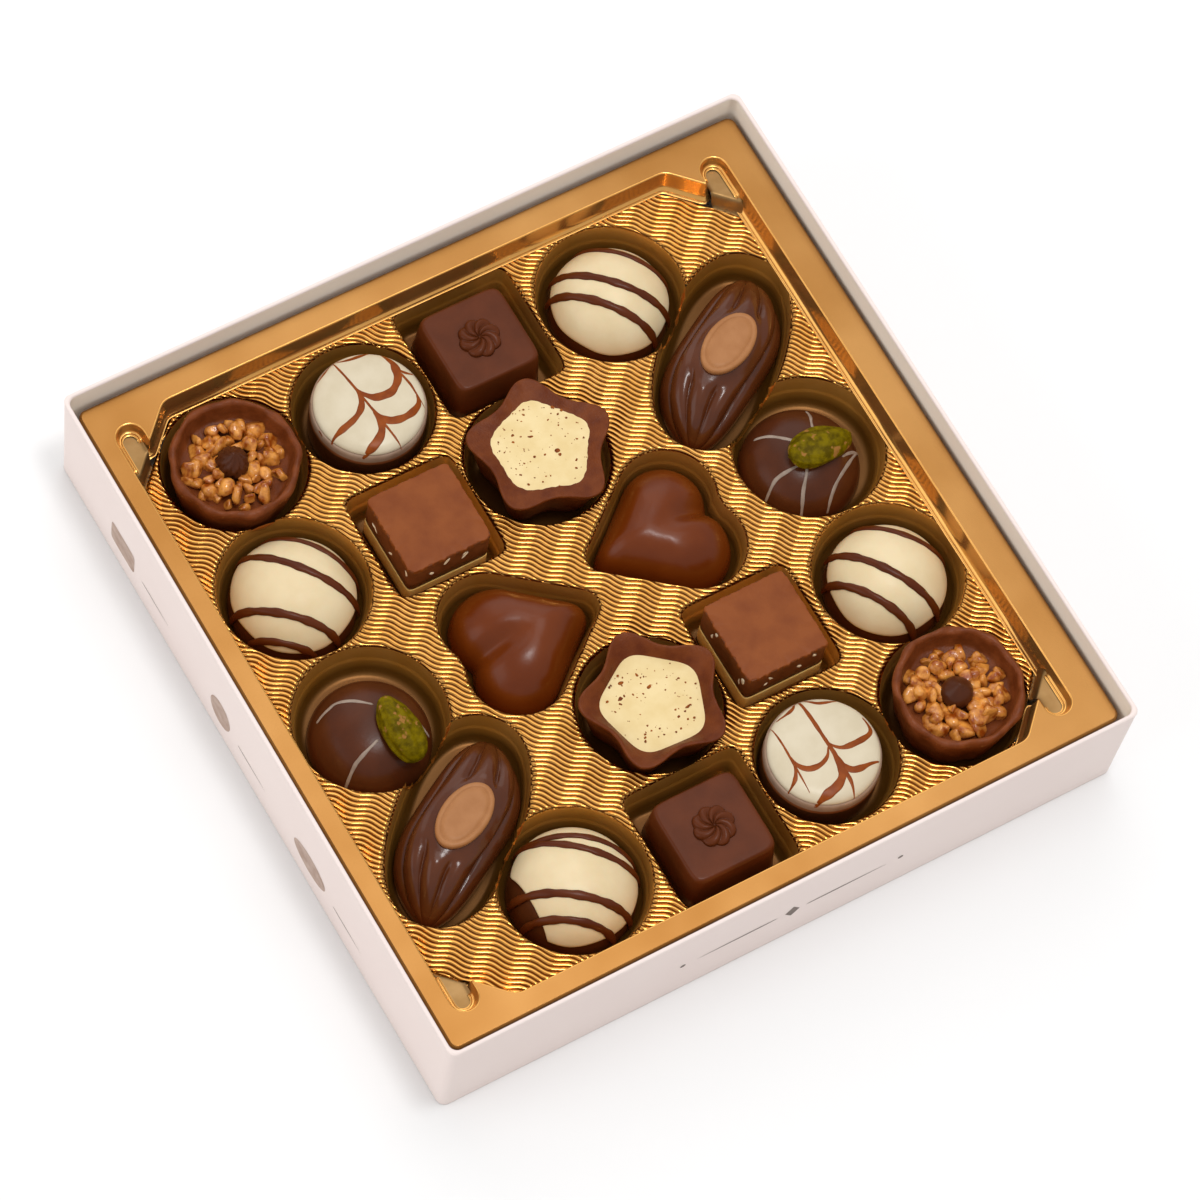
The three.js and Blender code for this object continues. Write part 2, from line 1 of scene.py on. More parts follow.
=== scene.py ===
# %% [markdown]
# # An open box of chocolate pralines
# The object is a shallow square box of pale pink board. A gold tray with twenty cells lies in it,
# and a praline stands in each cell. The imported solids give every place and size. Here they are
# dressed: the tray gets its ripples, the pralines their glaze, nuts and drizzle.
# Lengths in this file are in millimetres, and only the last step before Blender turns them into
# metres, because that is how a confectioner and a box maker would write them down.

import math

import bmesh
import bpy
import numpy as np
from mathutils import Euler, Matrix, Vector
from mathutils.geometry import delaunay_2d_cdt


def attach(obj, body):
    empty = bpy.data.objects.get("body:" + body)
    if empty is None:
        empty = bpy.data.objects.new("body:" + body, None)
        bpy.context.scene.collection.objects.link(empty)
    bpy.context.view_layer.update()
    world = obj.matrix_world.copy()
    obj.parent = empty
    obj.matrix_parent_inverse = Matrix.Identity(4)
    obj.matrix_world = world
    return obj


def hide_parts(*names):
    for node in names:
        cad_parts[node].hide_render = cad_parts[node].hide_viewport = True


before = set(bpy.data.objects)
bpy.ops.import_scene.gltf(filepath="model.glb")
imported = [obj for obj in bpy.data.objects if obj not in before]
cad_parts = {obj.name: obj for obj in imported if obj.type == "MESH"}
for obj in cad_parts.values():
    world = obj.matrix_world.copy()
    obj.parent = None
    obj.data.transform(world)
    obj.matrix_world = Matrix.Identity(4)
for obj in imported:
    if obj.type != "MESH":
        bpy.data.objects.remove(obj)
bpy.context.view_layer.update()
MM = 0.001
print("nodes in the packed model:", len(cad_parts))

# %% [markdown]
# ## The camera
# A product photographer stands well back with a long lens, so the far edge of the box is hardly
# smaller than the near one. The three turns tip the camera down on the box and roll it a little.

# %% Camera
CAMERA_AT = (-352.3, -387.7, 1074.9)
CAMERA_TURN = (25.506, -6.042, -30.041)
LENS = 185.3

camera_data = bpy.data.cameras.new("camera")
camera_data.lens = LENS
camera_data.sensor_width = 36
camera = bpy.data.objects.new("camera", camera_data)
camera.location = [value * MM for value in CAMERA_AT]
camera.rotation_euler = Euler([math.radians(turn) for turn in CAMERA_TURN], "XYZ")
bpy.context.collection.objects.link(camera)
bpy.context.scene.camera = camera
bpy.context.scene.view_settings.view_transform = "Standard"
print("camera", round(math.dist(camera.location, (0, 0, 0)), 2), "m away")

# %% [markdown]
# ## Turning lists of points into pieces
# Every piece here is a mesh made from points and faces. One shape of list covers nearly all of
# them: a stack of rings, like the hoops of a barrel. It is written once, so that each praline
# below is only a matter of stating its rings.

# %% Mesh helpers
def add_piece(name, points, faces, finish, replaces=(), slot=None, sharp=None):
    """Links a mesh given in millimetres, hangs it on the root and hides the imported parts it replaces.
    """
    mesh = bpy.data.meshes.new(name)
    mesh.from_pydata((np.asarray(points, float) * MM).tolist(), [], [list(f) for f in faces])
    mesh.update()
    piece = bpy.data.objects.new(name, mesh)
    bpy.context.collection.objects.link(piece)
    mesh.shade_smooth()
    if sharp is not None:
        mesh.set_sharp_from_angle(angle=math.radians(sharp))
    mesh.materials.append(finish)
    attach(piece, "root")
    if replaces:
        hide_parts(*replaces)
    return piece


def rings_mesh(rings, closed_low=True, closed_high=True):
    """Points and faces of a skin over a stack of rings, each an array of the same length."""
    count = len(rings[0])
    points = np.concatenate(rings)
    around = np.arange(count)
    after = np.roll(around, -1)
    faces = []
    for k in range(len(rings) - 1):
        low, high = k * count, (k + 1) * count
        faces += zip(low + around, low + after, high + after, high + around)
    if closed_low:
        points = np.vstack([points, rings[0].mean(axis=0)])
        faces += [(b, a, len(points) - 1) for a, b in zip(around, after)]
    if closed_high:
        last = (len(rings) - 1) * count
        points = np.vstack([points, rings[-1].mean(axis=0)])
        faces += [(last + a, last + b, len(points) - 1) for a, b in zip(around, after)]
    return points, [tuple(int(i) for i in face) for face in faces]


def merged(parts):
    """One list of points and one of faces from several."""
    points, faces, start = [], [], 0
    for part_points, part_faces in parts:
        points.append(part_points)
        faces += [tuple(i + start for i in face) for face in part_faces]
        start += len(part_points)
    return np.vstack(points), faces


def placed(points, at=(0, 0, 0), turn=0.0):
    """The points turned about +Z, in degrees, and then moved."""
    c, s = math.cos(math.radians(turn)), math.sin(math.radians(turn))
    return np.asarray(points) @ np.array([[c, s, 0], [-s, c, 0], [0, 0, 1]]) + np.asarray(at)


def full_turn(count):
    """Angles all the way round."""
    return np.linspace(0, 2 * math.pi, count, endpoint=False)


def polar(reach, angle, z):
    """A ring of points at a reach for each angle, and at one height or a height for each."""
    return np.stack([reach * np.cos(angle), reach * np.sin(angle), np.broadcast_to(z, angle.shape)],
                    axis=1)


def smoothstep(value, low=0.0, high=1.0):
    """A share from 0 to 1 that leaves low and reaches high gently."""
    t = np.clip((value - low) / (high - low), 0, 1)
    return t * t * (3 - 2 * t)


print("mesh helpers ready")

# %% [markdown]
# ## Finishes
# Chocolate, board and gold film are all mixtures: one tone that drifts into another over a few
# millimetres, and a very fine grain that breaks up the shine. One recipe gives all of them. Two
# colours are mixed by soft noise, and a second, finer noise lifts the surface a little.

# %% The shared recipe for a finish
def linear(colour):
    """A colour given 0 to 255, as the light it stands for."""
    share = np.array(colour, float) / 255
    return (*np.where(share <= 0.04045, share / 12.92, ((share + 0.055) / 1.055) ** 2.4), 1.0)


def add_node(finish, kind, **values):
    """A new node in a finish, with values on its inputs."""
    node = finish.node_tree.nodes.new(kind)
    for socket, value in values.items():
        node.inputs[socket.replace("_", " ")].default_value = value
    return node


def drifting_finish(name, first, second, patch, grain, lift, roughness, shine, metal):
    """A material whose colour drifts between two tones over patches of the given size."""
    finish = bpy.data.materials.new(name)
    finish.use_nodes = True
    links = finish.node_tree.links
    surface = finish.node_tree.nodes["Principled BSDF"]
    surface.inputs["Roughness"].default_value = roughness
    surface.inputs["Specular IOR Level"].default_value = shine
    surface.inputs["Metallic"].default_value = metal
    place = add_node(finish, "ShaderNodeTexCoord")
    drift = add_node(finish, "ShaderNodeTexNoise", Scale=1 / (patch * MM), Detail=3)
    tones = add_node(finish, "ShaderNodeValToRGB")
    for element, position, tone in zip(tones.color_ramp.elements, (0.35, 0.65), (first, second)):
        element.position, element.color = position, linear(tone)
    fine = add_node(finish, "ShaderNodeTexNoise", Scale=1 / (grain * MM), Detail=2)
    bump = add_node(finish, "ShaderNodeBump", Distance=lift * MM, Strength=1.0)
    for noise in (drift, fine):
        links.new(place.outputs["Object"], noise.inputs["Vector"])
    links.new(drift.outputs["Fac"], tones.inputs["Fac"])
    links.new(tones.outputs["Color"], surface.inputs["Base Color"])
    links.new(fine.outputs["Fac"], bump.inputs["Height"])
    links.new(bump.outputs["Normal"], surface.inputs["Normal"])
    return finish


def mixed_into(finish, blend):
    """Puts a mix between a finish and its colour, and returns it with its second side free."""
    links = finish.node_tree.links
    colour = finish.node_tree.nodes["Principled BSDF"].inputs["Base Color"]
    mix = add_node(finish, "ShaderNodeMix")
    mix.data_type, mix.blend_type = "RGBA", blend
    links.new(colour.links[0].from_socket, mix.inputs["A"])
    links.new(mix.outputs["Result"], colour)
    return mix


def patched(finish, colour, size, share):
    """Lays patches of another colour over a finish, as skin clings to a nut."""
    links = finish.node_tree.links
    place = add_node(finish, "ShaderNodeTexCoord")
    spots = add_node(finish, "ShaderNodeTexNoise", Scale=1 / (size * MM), Detail=4)
    where = add_node(finish, "ShaderNodeMapRange", From_Min=1 - share, From_Max=1 - share + 0.05)
    mix = mixed_into(finish, "MIX")
    links.new(place.outputs["Object"], spots.inputs["Vector"])
    links.new(spots.outputs["Fac"], where.inputs["Value"])
    links.new(where.outputs["Result"], mix.inputs["Factor"])
    mix.inputs["B"].default_value = linear(colour)


def toned_by_height(finish, stops):
    """Deepens a finish by height: stops are (height in mm, tone 0 to 255 that multiplies it)."""
    links = finish.node_tree.links
    low, high = stops[0][0], stops[-1][0]
    place, apart = add_node(finish, "ShaderNodeTexCoord"), add_node(finish, "ShaderNodeSeparateXYZ")
    share = add_node(finish, "ShaderNodeMapRange", From_Min=low * MM, From_Max=high * MM)
    tones = add_node(finish, "ShaderNodeValToRGB")
    while len(tones.color_ramp.elements) < len(stops):
        tones.color_ramp.elements.new(0.5)
    for element, (height, tone) in zip(tones.color_ramp.elements, stops):
        element.position = (height - low) / (high - low)
        element.color = linear(tone)
    mix = mixed_into(finish, "MULTIPLY")
    mix.inputs["Factor"].default_value = 1.0
    links.new(place.outputs["Object"], apart.inputs["Vector"])
    links.new(apart.outputs["Z"], share.inputs["Value"])
    links.new(share.outputs["Result"], tones.inputs["Fac"])
    links.new(tones.outputs["Color"], mix.inputs["B"])


FINISHES = [
    # key, name, two tones, patch, grain and lift in mm, roughness, shine, metal
    ("board", "pale_pink_board", (235, 219, 213), (237, 222, 216), 30, 0.25, 0.006, 0.62, 0.25, 0),
    # The inside is the same board: its lighter, warmer tone is painted light thrown back from the gold
    # tray.
    ("inside_lit_board", "board_with_painted_gold_bounce", (254, 243, 228), (255, 247, 234), 20, 0.25, 0.006, 0.6, 0.25, 0),
    ("print_brown", "brown_print", (168, 140, 124), (188, 164, 150), 2.5, 0.25, 0.004, 0.55, 0.25, 0),
    ("print_grey", "grey_print", (112, 98, 90), (128, 114, 106), 5, 0.25, 0.004, 0.55, 0.25, 0),
    ("gold", "satin_gold_film", (153, 105, 53), (173, 126, 72), 34, 0.18, 0.002, 0.27, 0.5, 1.0),
    # The cell walls' gold is a lighter tone of the same film: painted light on the walls.
    ("drawn_gold", "drawn_gold_film", (230, 165, 70), (238, 176, 86), 9, 0.18, 0.002, 0.36, 0.5, 0.7),
    ("mirror_gold", "polished_gold_film", (222, 162, 84), (229, 171, 94), 9, 0.3, 0.001, 0.19, 0.5, 0.85),
    # Painted shade: the slot floors' gold is a darker tone of the same film, for the shade in the slots.
    ("slot_gold", "slot_gold_painted_shade", (142, 108, 64), (156, 122, 78), 4, 0.15, 0.004, 0.45, 0.5, 0.9),
    ("bright_gold", "bright_gold_film", (198, 141, 68), (209, 152, 79), 6, 0.3, 0.001, 0.1, 0.5, 1.0),
    ("milk", "milk_chocolate", (121, 58, 16), (134, 69, 24), 5, 0.5, 0.03, 0.45, 0.18, 0),
    ("cast_milk", "rough_cast_milk", (92, 38, 8), (110, 52, 16), 3.2, 0.32, 0.09, 0.42, 0.15, 0),
    ("cup_milk", "cast_cup_milk", (102, 48, 18), (122, 62, 28), 2.6, 0.4, 0.1, 0.36, 0.15, 0),
    ("heart_milk", "glossy_milk_chocolate", (98, 40, 4), (106, 46, 8), 8, 1.2, 0.02, 0.26, 0.25, 0),
    ("dark", "dark_chocolate", (72, 33, 13), (82, 39, 16), 6, 0.7, 0.02, 0.3, 0.2, 0),
    ("square_dark", "cast_dark_chocolate", (84, 38, 14), (94, 44, 18), 6, 0.7, 0.02, 0.28, 0.13, 0),
    ("pod_dark", "glossy_dark_chocolate", (78, 36, 14), (88, 43, 18), 6, 0.9, 0.015, 0.19, 0.32, 0),
    ("white", "white_chocolate", (218, 196, 155), (225, 205, 166), 7, 0.9, 0.02, 0.35, 0.2, 0),
    ("drizzle", "poured_dark_chocolate", (80, 32, 7), (90, 39, 11), 5, 0.8, 0.02, 0.3, 0.16, 0),
    ("brittle", "caramelised_nut", (144, 64, 6), (226, 152, 66), 1.7, 0.3, 0.03, 0.16, 0.5, 0),
    ("glaze_edge", "thin_glaze_over_dark", (164, 138, 118), (150, 122, 102), 3, 0.5, 0.03, 0.34, 0.25, 0),
    ("icing", "white_icing", (202, 188, 160), (210, 197, 171), 5, 0.8, 0.015, 0.3, 0.25, 0),
    ("caramel_ribbon", "caramel_brown_icing", (122, 54, 10), (142, 68, 16), 2, 0.8, 0.01, 0.3, 0.12, 0),
    ("nougat", "cut_nougat", (100, 50, 20), (114, 60, 28), 2.2, 0.4, 0.03, 0.4, 0.2, 0),
    ("sliver", "nut_sliver", (236, 206, 160), (250, 232, 200), 0.9, 0.25, 0.03, 0.5, 0.2, 0),
    ("layer", "nut_layer", (240, 200, 112), (248, 214, 132), 2.5, 0.3, 0.03, 0.35, 0.4, 0),
    ("cream", "cream_filling", (222, 196, 140), (230, 207, 155), 4, 0.5, 0.03, 0.42, 0.2, 0),
    ("crumb", "brown_crumb", (104, 44, 4), (160, 84, 14), 1.6, 0.2, 0.03, 0.6, 0.2, 0),
    ("thread", "pale_thread", (138, 120, 106), (158, 140, 126), 2, 0.5, 0.02, 0.4, 0.25, 0),
    ("kernel", "green_kernel", (116, 99, 0), (80, 66, 0), 1.4, 0.3, 0.12, 0.4, 0.05, 0),
    ("caramel", "caramel_chocolate", (160, 106, 62), (168, 114, 70), 3, 0.5, 0.03, 0.42, 0.2, 0),
]
FINISH = {key: drifting_finish(*recipe) for key, *recipe in FINISHES}
white_surface = FINISH["white"].node_tree.nodes["Principled BSDF"]
white_surface.inputs["Subsurface Weight"].default_value = 0.1
white_surface.inputs["Subsurface Scale"].default_value = 0.002
# Painted shade: the field's gold is darkened by height in the grooves between the ripples.
toned_by_height(FINISH["bright_gold"], [(16.3, (255, 255, 255)), (16.54, (255, 255, 255)),
                                        (16.62, (84, 60, 40)), (16.72, (120, 92, 70)),
                                        (16.86, (255, 255, 255)), (16.96, (255, 255, 255))])
# Painted shade: the cells' gold darkens by height towards the floor, deep in each cell.
toned_by_height(FINISH["drawn_gold"], [(8.8, (104, 92, 72)), (9.8, (160, 148, 126)),
                                       (12.6, (244, 238, 224)), (16.6, (255, 255, 255))])
toned_by_height(FINISH["glaze_edge"], [(9.1, (108, 70, 48)), (15.7, (108, 70, 48)),
                                       (16.1, (215, 150, 104)), (16.6, (222, 160, 112)),
                                       (16.9, (255, 255, 255)), (18.7, (255, 255, 255))])
patched(FINISH["kernel"], (150, 104, 50), 2.3, 0.42)
print("finishes:", ", ".join(FINISH))

# %% [markdown]
# ## The floor and the light
# The box stands on plain white paper under soft studio light. A broad lamp high up behind it gives
# the gold an even glow. A smaller, stronger one almost overhead makes the short bright dashes on the
# ripples and the points on the glaze. Two wide ones fill in from the left and from the back.

# %% Floor and light
paper = bpy.data.materials.new("white_paper")
paper.use_nodes = True
paper_surface = paper.node_tree.nodes["Principled BSDF"]
paper_surface.inputs["Base Color"].default_value = (0.86, 0.86, 0.86, 1)
paper_surface.inputs["Roughness"].default_value = 0.9
bpy.ops.mesh.primitive_plane_add(size=6)
floor = bpy.context.object
floor.name = "paper_floor"
floor.data.materials.append(paper)


def soft_lamp(name, azimuth, elevation, size, power, distance=1.5):
    """A square lamp that faces the middle of the box from the given direction, in degrees."""
    a, e = math.radians(azimuth), math.radians(elevation)
    towards = np.array([math.cos(a) * math.cos(e), math.sin(a) * math.cos(e), math.sin(e)])
    data = bpy.data.lights.new(name, "AREA")
    data.shape, data.size, data.energy = "SQUARE", size, power
    lamp = bpy.data.objects.new(name, data)
    lamp.location = towards * distance
    lamp.rotation_euler = lamp.location.to_track_quat("Z", "Y").to_euler()
    bpy.context.collection.objects.link(lamp)
    return lamp


LAMPS = [
    soft_lamp("window_panel", 38, 76, 0.8, 3.2),
    soft_lamp("key", -61, 82, 0.28, 5.8),
    soft_lamp("side_fill", 172, 24, 1.2, 4.4),
    soft_lamp("back_light", 70, 40, 1.2, 3.5),
]
world = bpy.data.worlds.new("studio")
bpy.context.scene.world = world
world.use_nodes = True
sky = world.node_tree.nodes["Background"]
sky.inputs["Color"].default_value = (1, 1, 1, 1)
sky.inputs["Strength"].default_value = 0.68
print("lamps:", len(LAMPS))

# %% [markdown]
# ## The paperboard box
# The real box is one sheet of coated board, scored, folded up and folded over again at the rim,
# so each wall is double and its top edge is soft. It could be four flat boards, but then the rim
# would look cut. A single section carried round a rounded rectangle gives the folded edge.

# %% The box
BOX_HALF = np.array([75.2, 75.8])  # outside, at the rim
BOX_HEIGHT, WALL_LEAN, WALL, FLOOR = 27.4, 0.5, 0.9, 0.8


def rounded_box(half, corner, z, steps=8):
    """A ring: a rectangle with rounded corners, anticlockwise from above."""
    points = []
    for quarter, (sx, sy) in enumerate([(1, 1), (-1, 1), (-1, -1), (1, -1)]):
        for k in range(steps + 1):
            angle = math.pi / 2 * (quarter + k / steps)
            points.append((sx * (half[0] - corner) + corner * math.cos(angle),
                           sy * (half[1] - corner) + corner * math.sin(angle), z))
    return np.array(points)


def wall_section():
    """(how far in from the rim's outside, height, corner radius) up the outside, down the inside."""
    lean = lambda z: WALL_LEAN * (1 - z / BOX_HEIGHT)
    section = [(WALL_LEAN + 0.35, 0.0, 1.7), (WALL_LEAN + 0.08, 0.1, 1.8), (lean(0.4), 0.4, 1.9)]
    section += [(lean(z), z, 2.0) for z in (9, 18, BOX_HEIGHT - 0.6)]
    for turn in range(1, 9):
        a = math.pi * turn / 8
        section.append((0.5 * WALL * (1 - math.cos(a)), BOX_HEIGHT - 0.5 + 0.5 * math.sin(a), 1.7))
    section += [(WALL + lean(z), z, 1.3) for z in (BOX_HEIGHT - 0.7, 18, 9, FLOOR + 0.1)]
    return section


box_rings = [rounded_box(BOX_HALF - inset, corner, z) for inset, z, corner in wall_section()]
OUTSIDE = len(box_rings) - 4  # the rings from here on are the inside, lighter and warmer by painted light thrown back from the gold
add_piece("paperboard_box", *rings_mesh(box_rings[:OUTSIDE], closed_high=False), FINISH["board"],
          ["box"], "board", sharp=50)
add_piece("box_inside_walls", *rings_mesh(box_rings[OUTSIDE - 1:], closed_low=False), FINISH["inside_lit_board"],
          ["box"], "board", sharp=50)
print("box section points:", len(box_rings))

# %% [markdown]
# ## The print on the walls
# The box is printed with a few small marks. Ink has no thickness that shows, but a mark that is a
# mesh of its own keeps a crisp edge from any distance, so each is a sheet as thin as paper that
# leans with its wall. The left wall has three plain shapes of pralines, each with a fine line
# beside it, and the front wall has a plain divider: a lozenge with a tapering stroke on each side.

# %% Marks on the walls
INK_LIFT = 0.03


def on_left_wall(flat):
    """Points given as (along the wall to the front, height) laid on the left wall."""
    lean = WALL_LEAN * (1 - flat[:, 1] / BOX_HEIGHT)
    return np.column_stack([-(BOX_HALF[0] - lean + INK_LIFT), -flat[:, 0], flat[:, 1]])


def on_front_wall(flat):
    """Points given as (along the wall to the right, height) laid on the front wall."""
    lean = WALL_LEAN * (1 - flat[:, 1] / BOX_HEIGHT)
    return np.column_stack([flat[:, 0], -(BOX_HALF[1] - lean + INK_LIFT), flat[:, 1]])


def mark(outline, middle, size, lay):
    """A filled mark: an outline round (0, 0), sized and laid on a wall."""
    flat = np.array(outline) * size + middle
    points = lay(np.vstack([flat, flat.mean(axis=0)]))
    last = len(flat)
    return points, [(k, (k + 1) % last, last) for k in range(last)]


def blob(power, count=48):
    """A round, or with a higher power a soft square, with a radius of 1."""
    a = full_turn(count)
    reach = (np.abs(np.cos(a)) ** power + np.abs(np.sin(a)) ** power) ** (-1 / power)
    return np.stack([reach * np.cos(a), reach * np.sin(a)], axis=1)


def stroke(count=24):
    """A long stroke that is widest near one end and tapers away at the other."""
    x = np.linspace(-1, 1, count)
    half = (1 - x ** 2) ** 0.5 * (0.62 - 0.38 * x) * (1 + x * 0.1)
    return np.concatenate([np.stack([x, -half], axis=1), np.stack([x, half], axis=1)[::-1]])


LOZENGE = [(1, 0), (0, 1), (-1, 0), (0, -1)]
PRINTS = [(-50.0, 9.5, 4.6, 3.6, 8), (-11.0, 9.0, 3.8, 4.2, 2), (24.0, 9.0, 6.0, 3.4, 2)]
shapes = [mark(blob(power), (along, up), (wide, high), on_left_wall)
          for along, up, wide, high, power in PRINTS]
captions = [mark(stroke(), (along + wide + 8.5, up - 1), (5.5, 0.22), on_left_wall)
            for along, up, wide, high, power in PRINTS]
divider = [mark(LOZENGE, (0, 13), (1.6, 2.2), on_front_wall)]
divider += [mark(stroke() * (side, 1), (side * 12, 13), (9, 0.42), on_front_wall) for side in (1, -1)]
divider += [mark(blob(2), (side * 24, 13), (0.6, 0.6), on_front_wall) for side in (1, -1)]
add_piece("printed_praline_shapes", *merged(shapes), FINISH["print_brown"], slot="board")
add_piece("printed_lines", *merged(captions + divider), FINISH["print_grey"], slot="board")
print("printed marks:", len(shapes) + len(captions) + len(divider))

# %% [markdown]
# ## The cells' outlines
# Every cell has an outline: a round, a square, a heart or a long pod. An outline is stated as a
# radius for each angle round its own middle, which makes it easy to grow, shrink and stack. The
# tray repeats itself when it is turned half round, so each kind of cell is stated once.

# %% Outlines
FLANGE_Z, FIELD_Z, CELL_FLOOR_Z = 22.4, 16.8, 8.8
TRAY_SHIFT = np.array([-0.3, -0.1])
REST_Z = CELL_FLOOR_Z + 0.3


def circle(radius):
    return lambda angle: np.full_like(angle, radius)


def superellipse(half_length, half_width, power):
    return lambda angle: (np.abs(np.cos(angle) / half_length) ** power
                          + np.abs(np.sin(angle) / half_width) ** power) ** (-1 / power)


def star(radius, depth, points=5):
    def outline(angle):
        wave = np.cos(points * angle)
        return radius + depth * (wave + 0.18 * wave * wave - 0.09)
    return outline


def heart(length, width, bridge=0.0):
    """Each half is the sweep of a round from the lobe to the tip, which points along -X.
    bridge is where a straight edge closes the notch, as the cell for a heart has it."""
    lobe, tip = width * 0.315, width * 0.11

    def outline(angle):
        faces_notch = (np.abs(np.tan(angle)) * bridge < width / 2 - lobe) & (np.cos(angle) > 0)
        radius = np.where(faces_notch, bridge / np.cos(angle), 0)
        for side in (-1, 1):
            for t in np.linspace(0, 1, 41):
                x = (length / 2 - lobe) * (1 - t) + (tip - length / 2) * t
                y = side * (width / 2 - lobe) * (1 - t)
                along = x * np.cos(angle) + y * np.sin(angle)
                aside = x * np.sin(angle) - y * np.cos(angle)
                reach = (lobe * (1 - t) + tip * t) ** 2 - aside ** 2
                radius = np.maximum(radius, np.where(reach > 0, along + np.sqrt(np.abs(reach)), 0))
        return radius
    return outline


def ring(outline, z, scale=1.0, grow=0.0, count=96):
    """An outline as a ring of points at height z."""
    angle = full_turn(count)
    return polar(outline(angle) * scale + grow, angle, z)


CELLS = {
    "nut_cup": ((-49.2, 53.0), circle(14.2), 0),
    "marbled": ((-21.3, 52.3), circle(14.0), 0),
    "dark_cube": ((5.8, 54.7), superellipse(12.6, 12.8, 14), 0),
    "dome_a": ((34.2, 52.2), circle(14.9), 0),
    "pod": ((47.5, 31.5), superellipse(22.4, 11.9, 2.3), 43),
    "star_cup": ((3.5, 27.6), circle(14.2), 0),
    "nougat": ((-22.9, 24.8), superellipse(11.7, 11.7, 12), 0),
    "pistachio": ((51.9, 5.8), circle(15.1), 0),
    "dome_b": ((-51.7, 24.7), circle(14.9), 0),
    "heart": ((16.4, 3.6), heart(30.6, 30.9, 14.4), 0),
}


def cell_places():
    """Middle, outline and turn of each of the twenty cells, in the box's frame."""
    for (x, y), outline, turn in CELLS.values():
        yield np.array([x, y]) + TRAY_SHIFT, outline, turn
        yield np.array([-x, -y]) + TRAY_SHIFT, outline, turn + 180


print("cells:", len(list(cell_places())))

# %% [markdown]
# ## The rippled field
# Between the cells the gold film carries fine waved ripples, about 1 mm apart. A bump map would
# shade them but would not catch the light at the cells' rims, where each ripple ends in a bright
# dot. So they are real relief. The grid of the sheet follows the ripples: one direction runs
# along a ripple and the other steps across it, which keeps each crest crisp with few faces. The
# sheet is then trimmed where it meets a cell or the wall, and rounded over that edge.

# %% Distance from the sheet's edges
RECESS_HALF, RECESS_CHAMFER, RECESS_DRAFT = np.array([67.8, 68.6]), 12.0, 1.0
RECESS_MIDDLE = TRAY_SHIFT + (-0.65, 0)  # the border is widest on the right
RECESS_ROUND = 3.0


def distance_to_loop(points, loop):
    """How far each point is from a closed loop, more than 0 outside it."""
    best = np.full(len(points), 1e9)
    inside = np.zeros(len(points), bool)
    for a, b in zip(loop, np.roll(loop, -1, axis=0)):
        side = b - a
        t = np.clip(((points - a) @ side) / (side @ side + 1e-12), 0, 1)
        best = np.minimum(best, np.hypot(*(points - a - t[:, None] * side).T))
        crosses = (a[1] > points[:, 1]) != (b[1] > points[:, 1])
        level = a[0] + (points[:, 1] - a[1]) * side[0] / (side[1] if side[1] else 1e-12)
        inside ^= crosses & (points[:, 0] < level)
    return np.where(inside, -best, best)


def recess_depth(points, inset=0.0):
    """How far inside the recess each point is: a square with cut corners."""
    x, y = np.abs(points - RECESS_MIDDLE).T
    half = RECESS_HALF - inset
    sides = np.stack([half[0] - x, half[1] - y,
                      (half.sum() - RECESS_CHAMFER - x - y) / math.sqrt(2)])
    return -np.log(np.exp(-sides * 2.2).sum(axis=0)) / 2.2


CELL_LOOPS = [placed(ring(outline, 0, count=120), (*at, 0), turn)[:, :2]
              for at, outline, turn in cell_places()]


def sheet_depth(points, near=3.0):
    """How far inside the field's sheet each point is, exact within a few millimetres of an edge."""
    depth = recess_depth(points, RECESS_DRAFT)
    for loop in CELL_LOOPS:
        middle = loop.mean(axis=0)
        reach = np.hypot(*(loop - middle).T).max() + near
        close = np.hypot(*(points - middle).T) < reach
        depth[close] = np.minimum(depth[close], distance_to_loop(points[close], loop))
    return depth


print("cell loops:", len(CELL_LOOPS), "of", len(CELL_LOOPS[0]), "points")

# %% The rippled sheet
PITCH = 1.0  # from ripple to ripple
RIPPLE_HEIGHT = 0.32
WAVE_LENGTH, WAVE_SWING = 7.35, 0.4
ROUND_OVER = 0.45  # radius of the sheet's edge at a cell
ACROSS = np.array([0.0, 0.09, 0.22, 0.36, 0.5, 0.64, 0.78, 0.91])  # steps across one ripple


def ripple_sheet(step=0.62):
    """Points and triangles of the sheet, trimmed to its outline."""
    reach = 2 * RECESS_HALF.max() / math.sqrt(2)
    u = np.arange(-reach, reach + step, step)
    w = (np.arange(-math.ceil(reach), math.ceil(reach))[:, None] + ACROSS).ravel()
    crest = np.tile(1 - np.abs(2 * ACROSS - 1) ** 2.6, len(w) // len(ACROSS))
    grid_u, grid_w = np.meshgrid(u, w)
    swing = WAVE_SWING * np.sin(2 * math.pi * grid_u / WAVE_LENGTH)
    v = grid_w * PITCH + swing
    flat = np.stack([(grid_u + v), (v - grid_u)], axis=-1).reshape(-1, 2) / math.sqrt(2)
    depth = sheet_depth(flat)
    height = np.repeat(crest[:, None], len(u), axis=1).ravel() - 0.5
    fade = smoothstep(depth, -0.1, 0.22)
    drop = np.clip(ROUND_OVER - depth, 0, ROUND_OVER)
    edge = ROUND_OVER - np.sqrt(np.maximum(ROUND_OVER ** 2 - drop ** 2, 0))
    z = FIELD_Z + RIPPLE_HEIGHT * height * fade - edge
    points = np.column_stack([flat, z])
    a = (np.arange(len(w) - 1)[:, None] * len(u) + np.arange(len(u) - 1)).ravel()
    quads = np.stack([a, a + 1, a + len(u) + 1, a + len(u)], axis=1)
    triangles = np.concatenate([quads[:, [0, 1, 2]], quads[:, [0, 2, 3]]])
    return trimmed(points, depth, triangles)


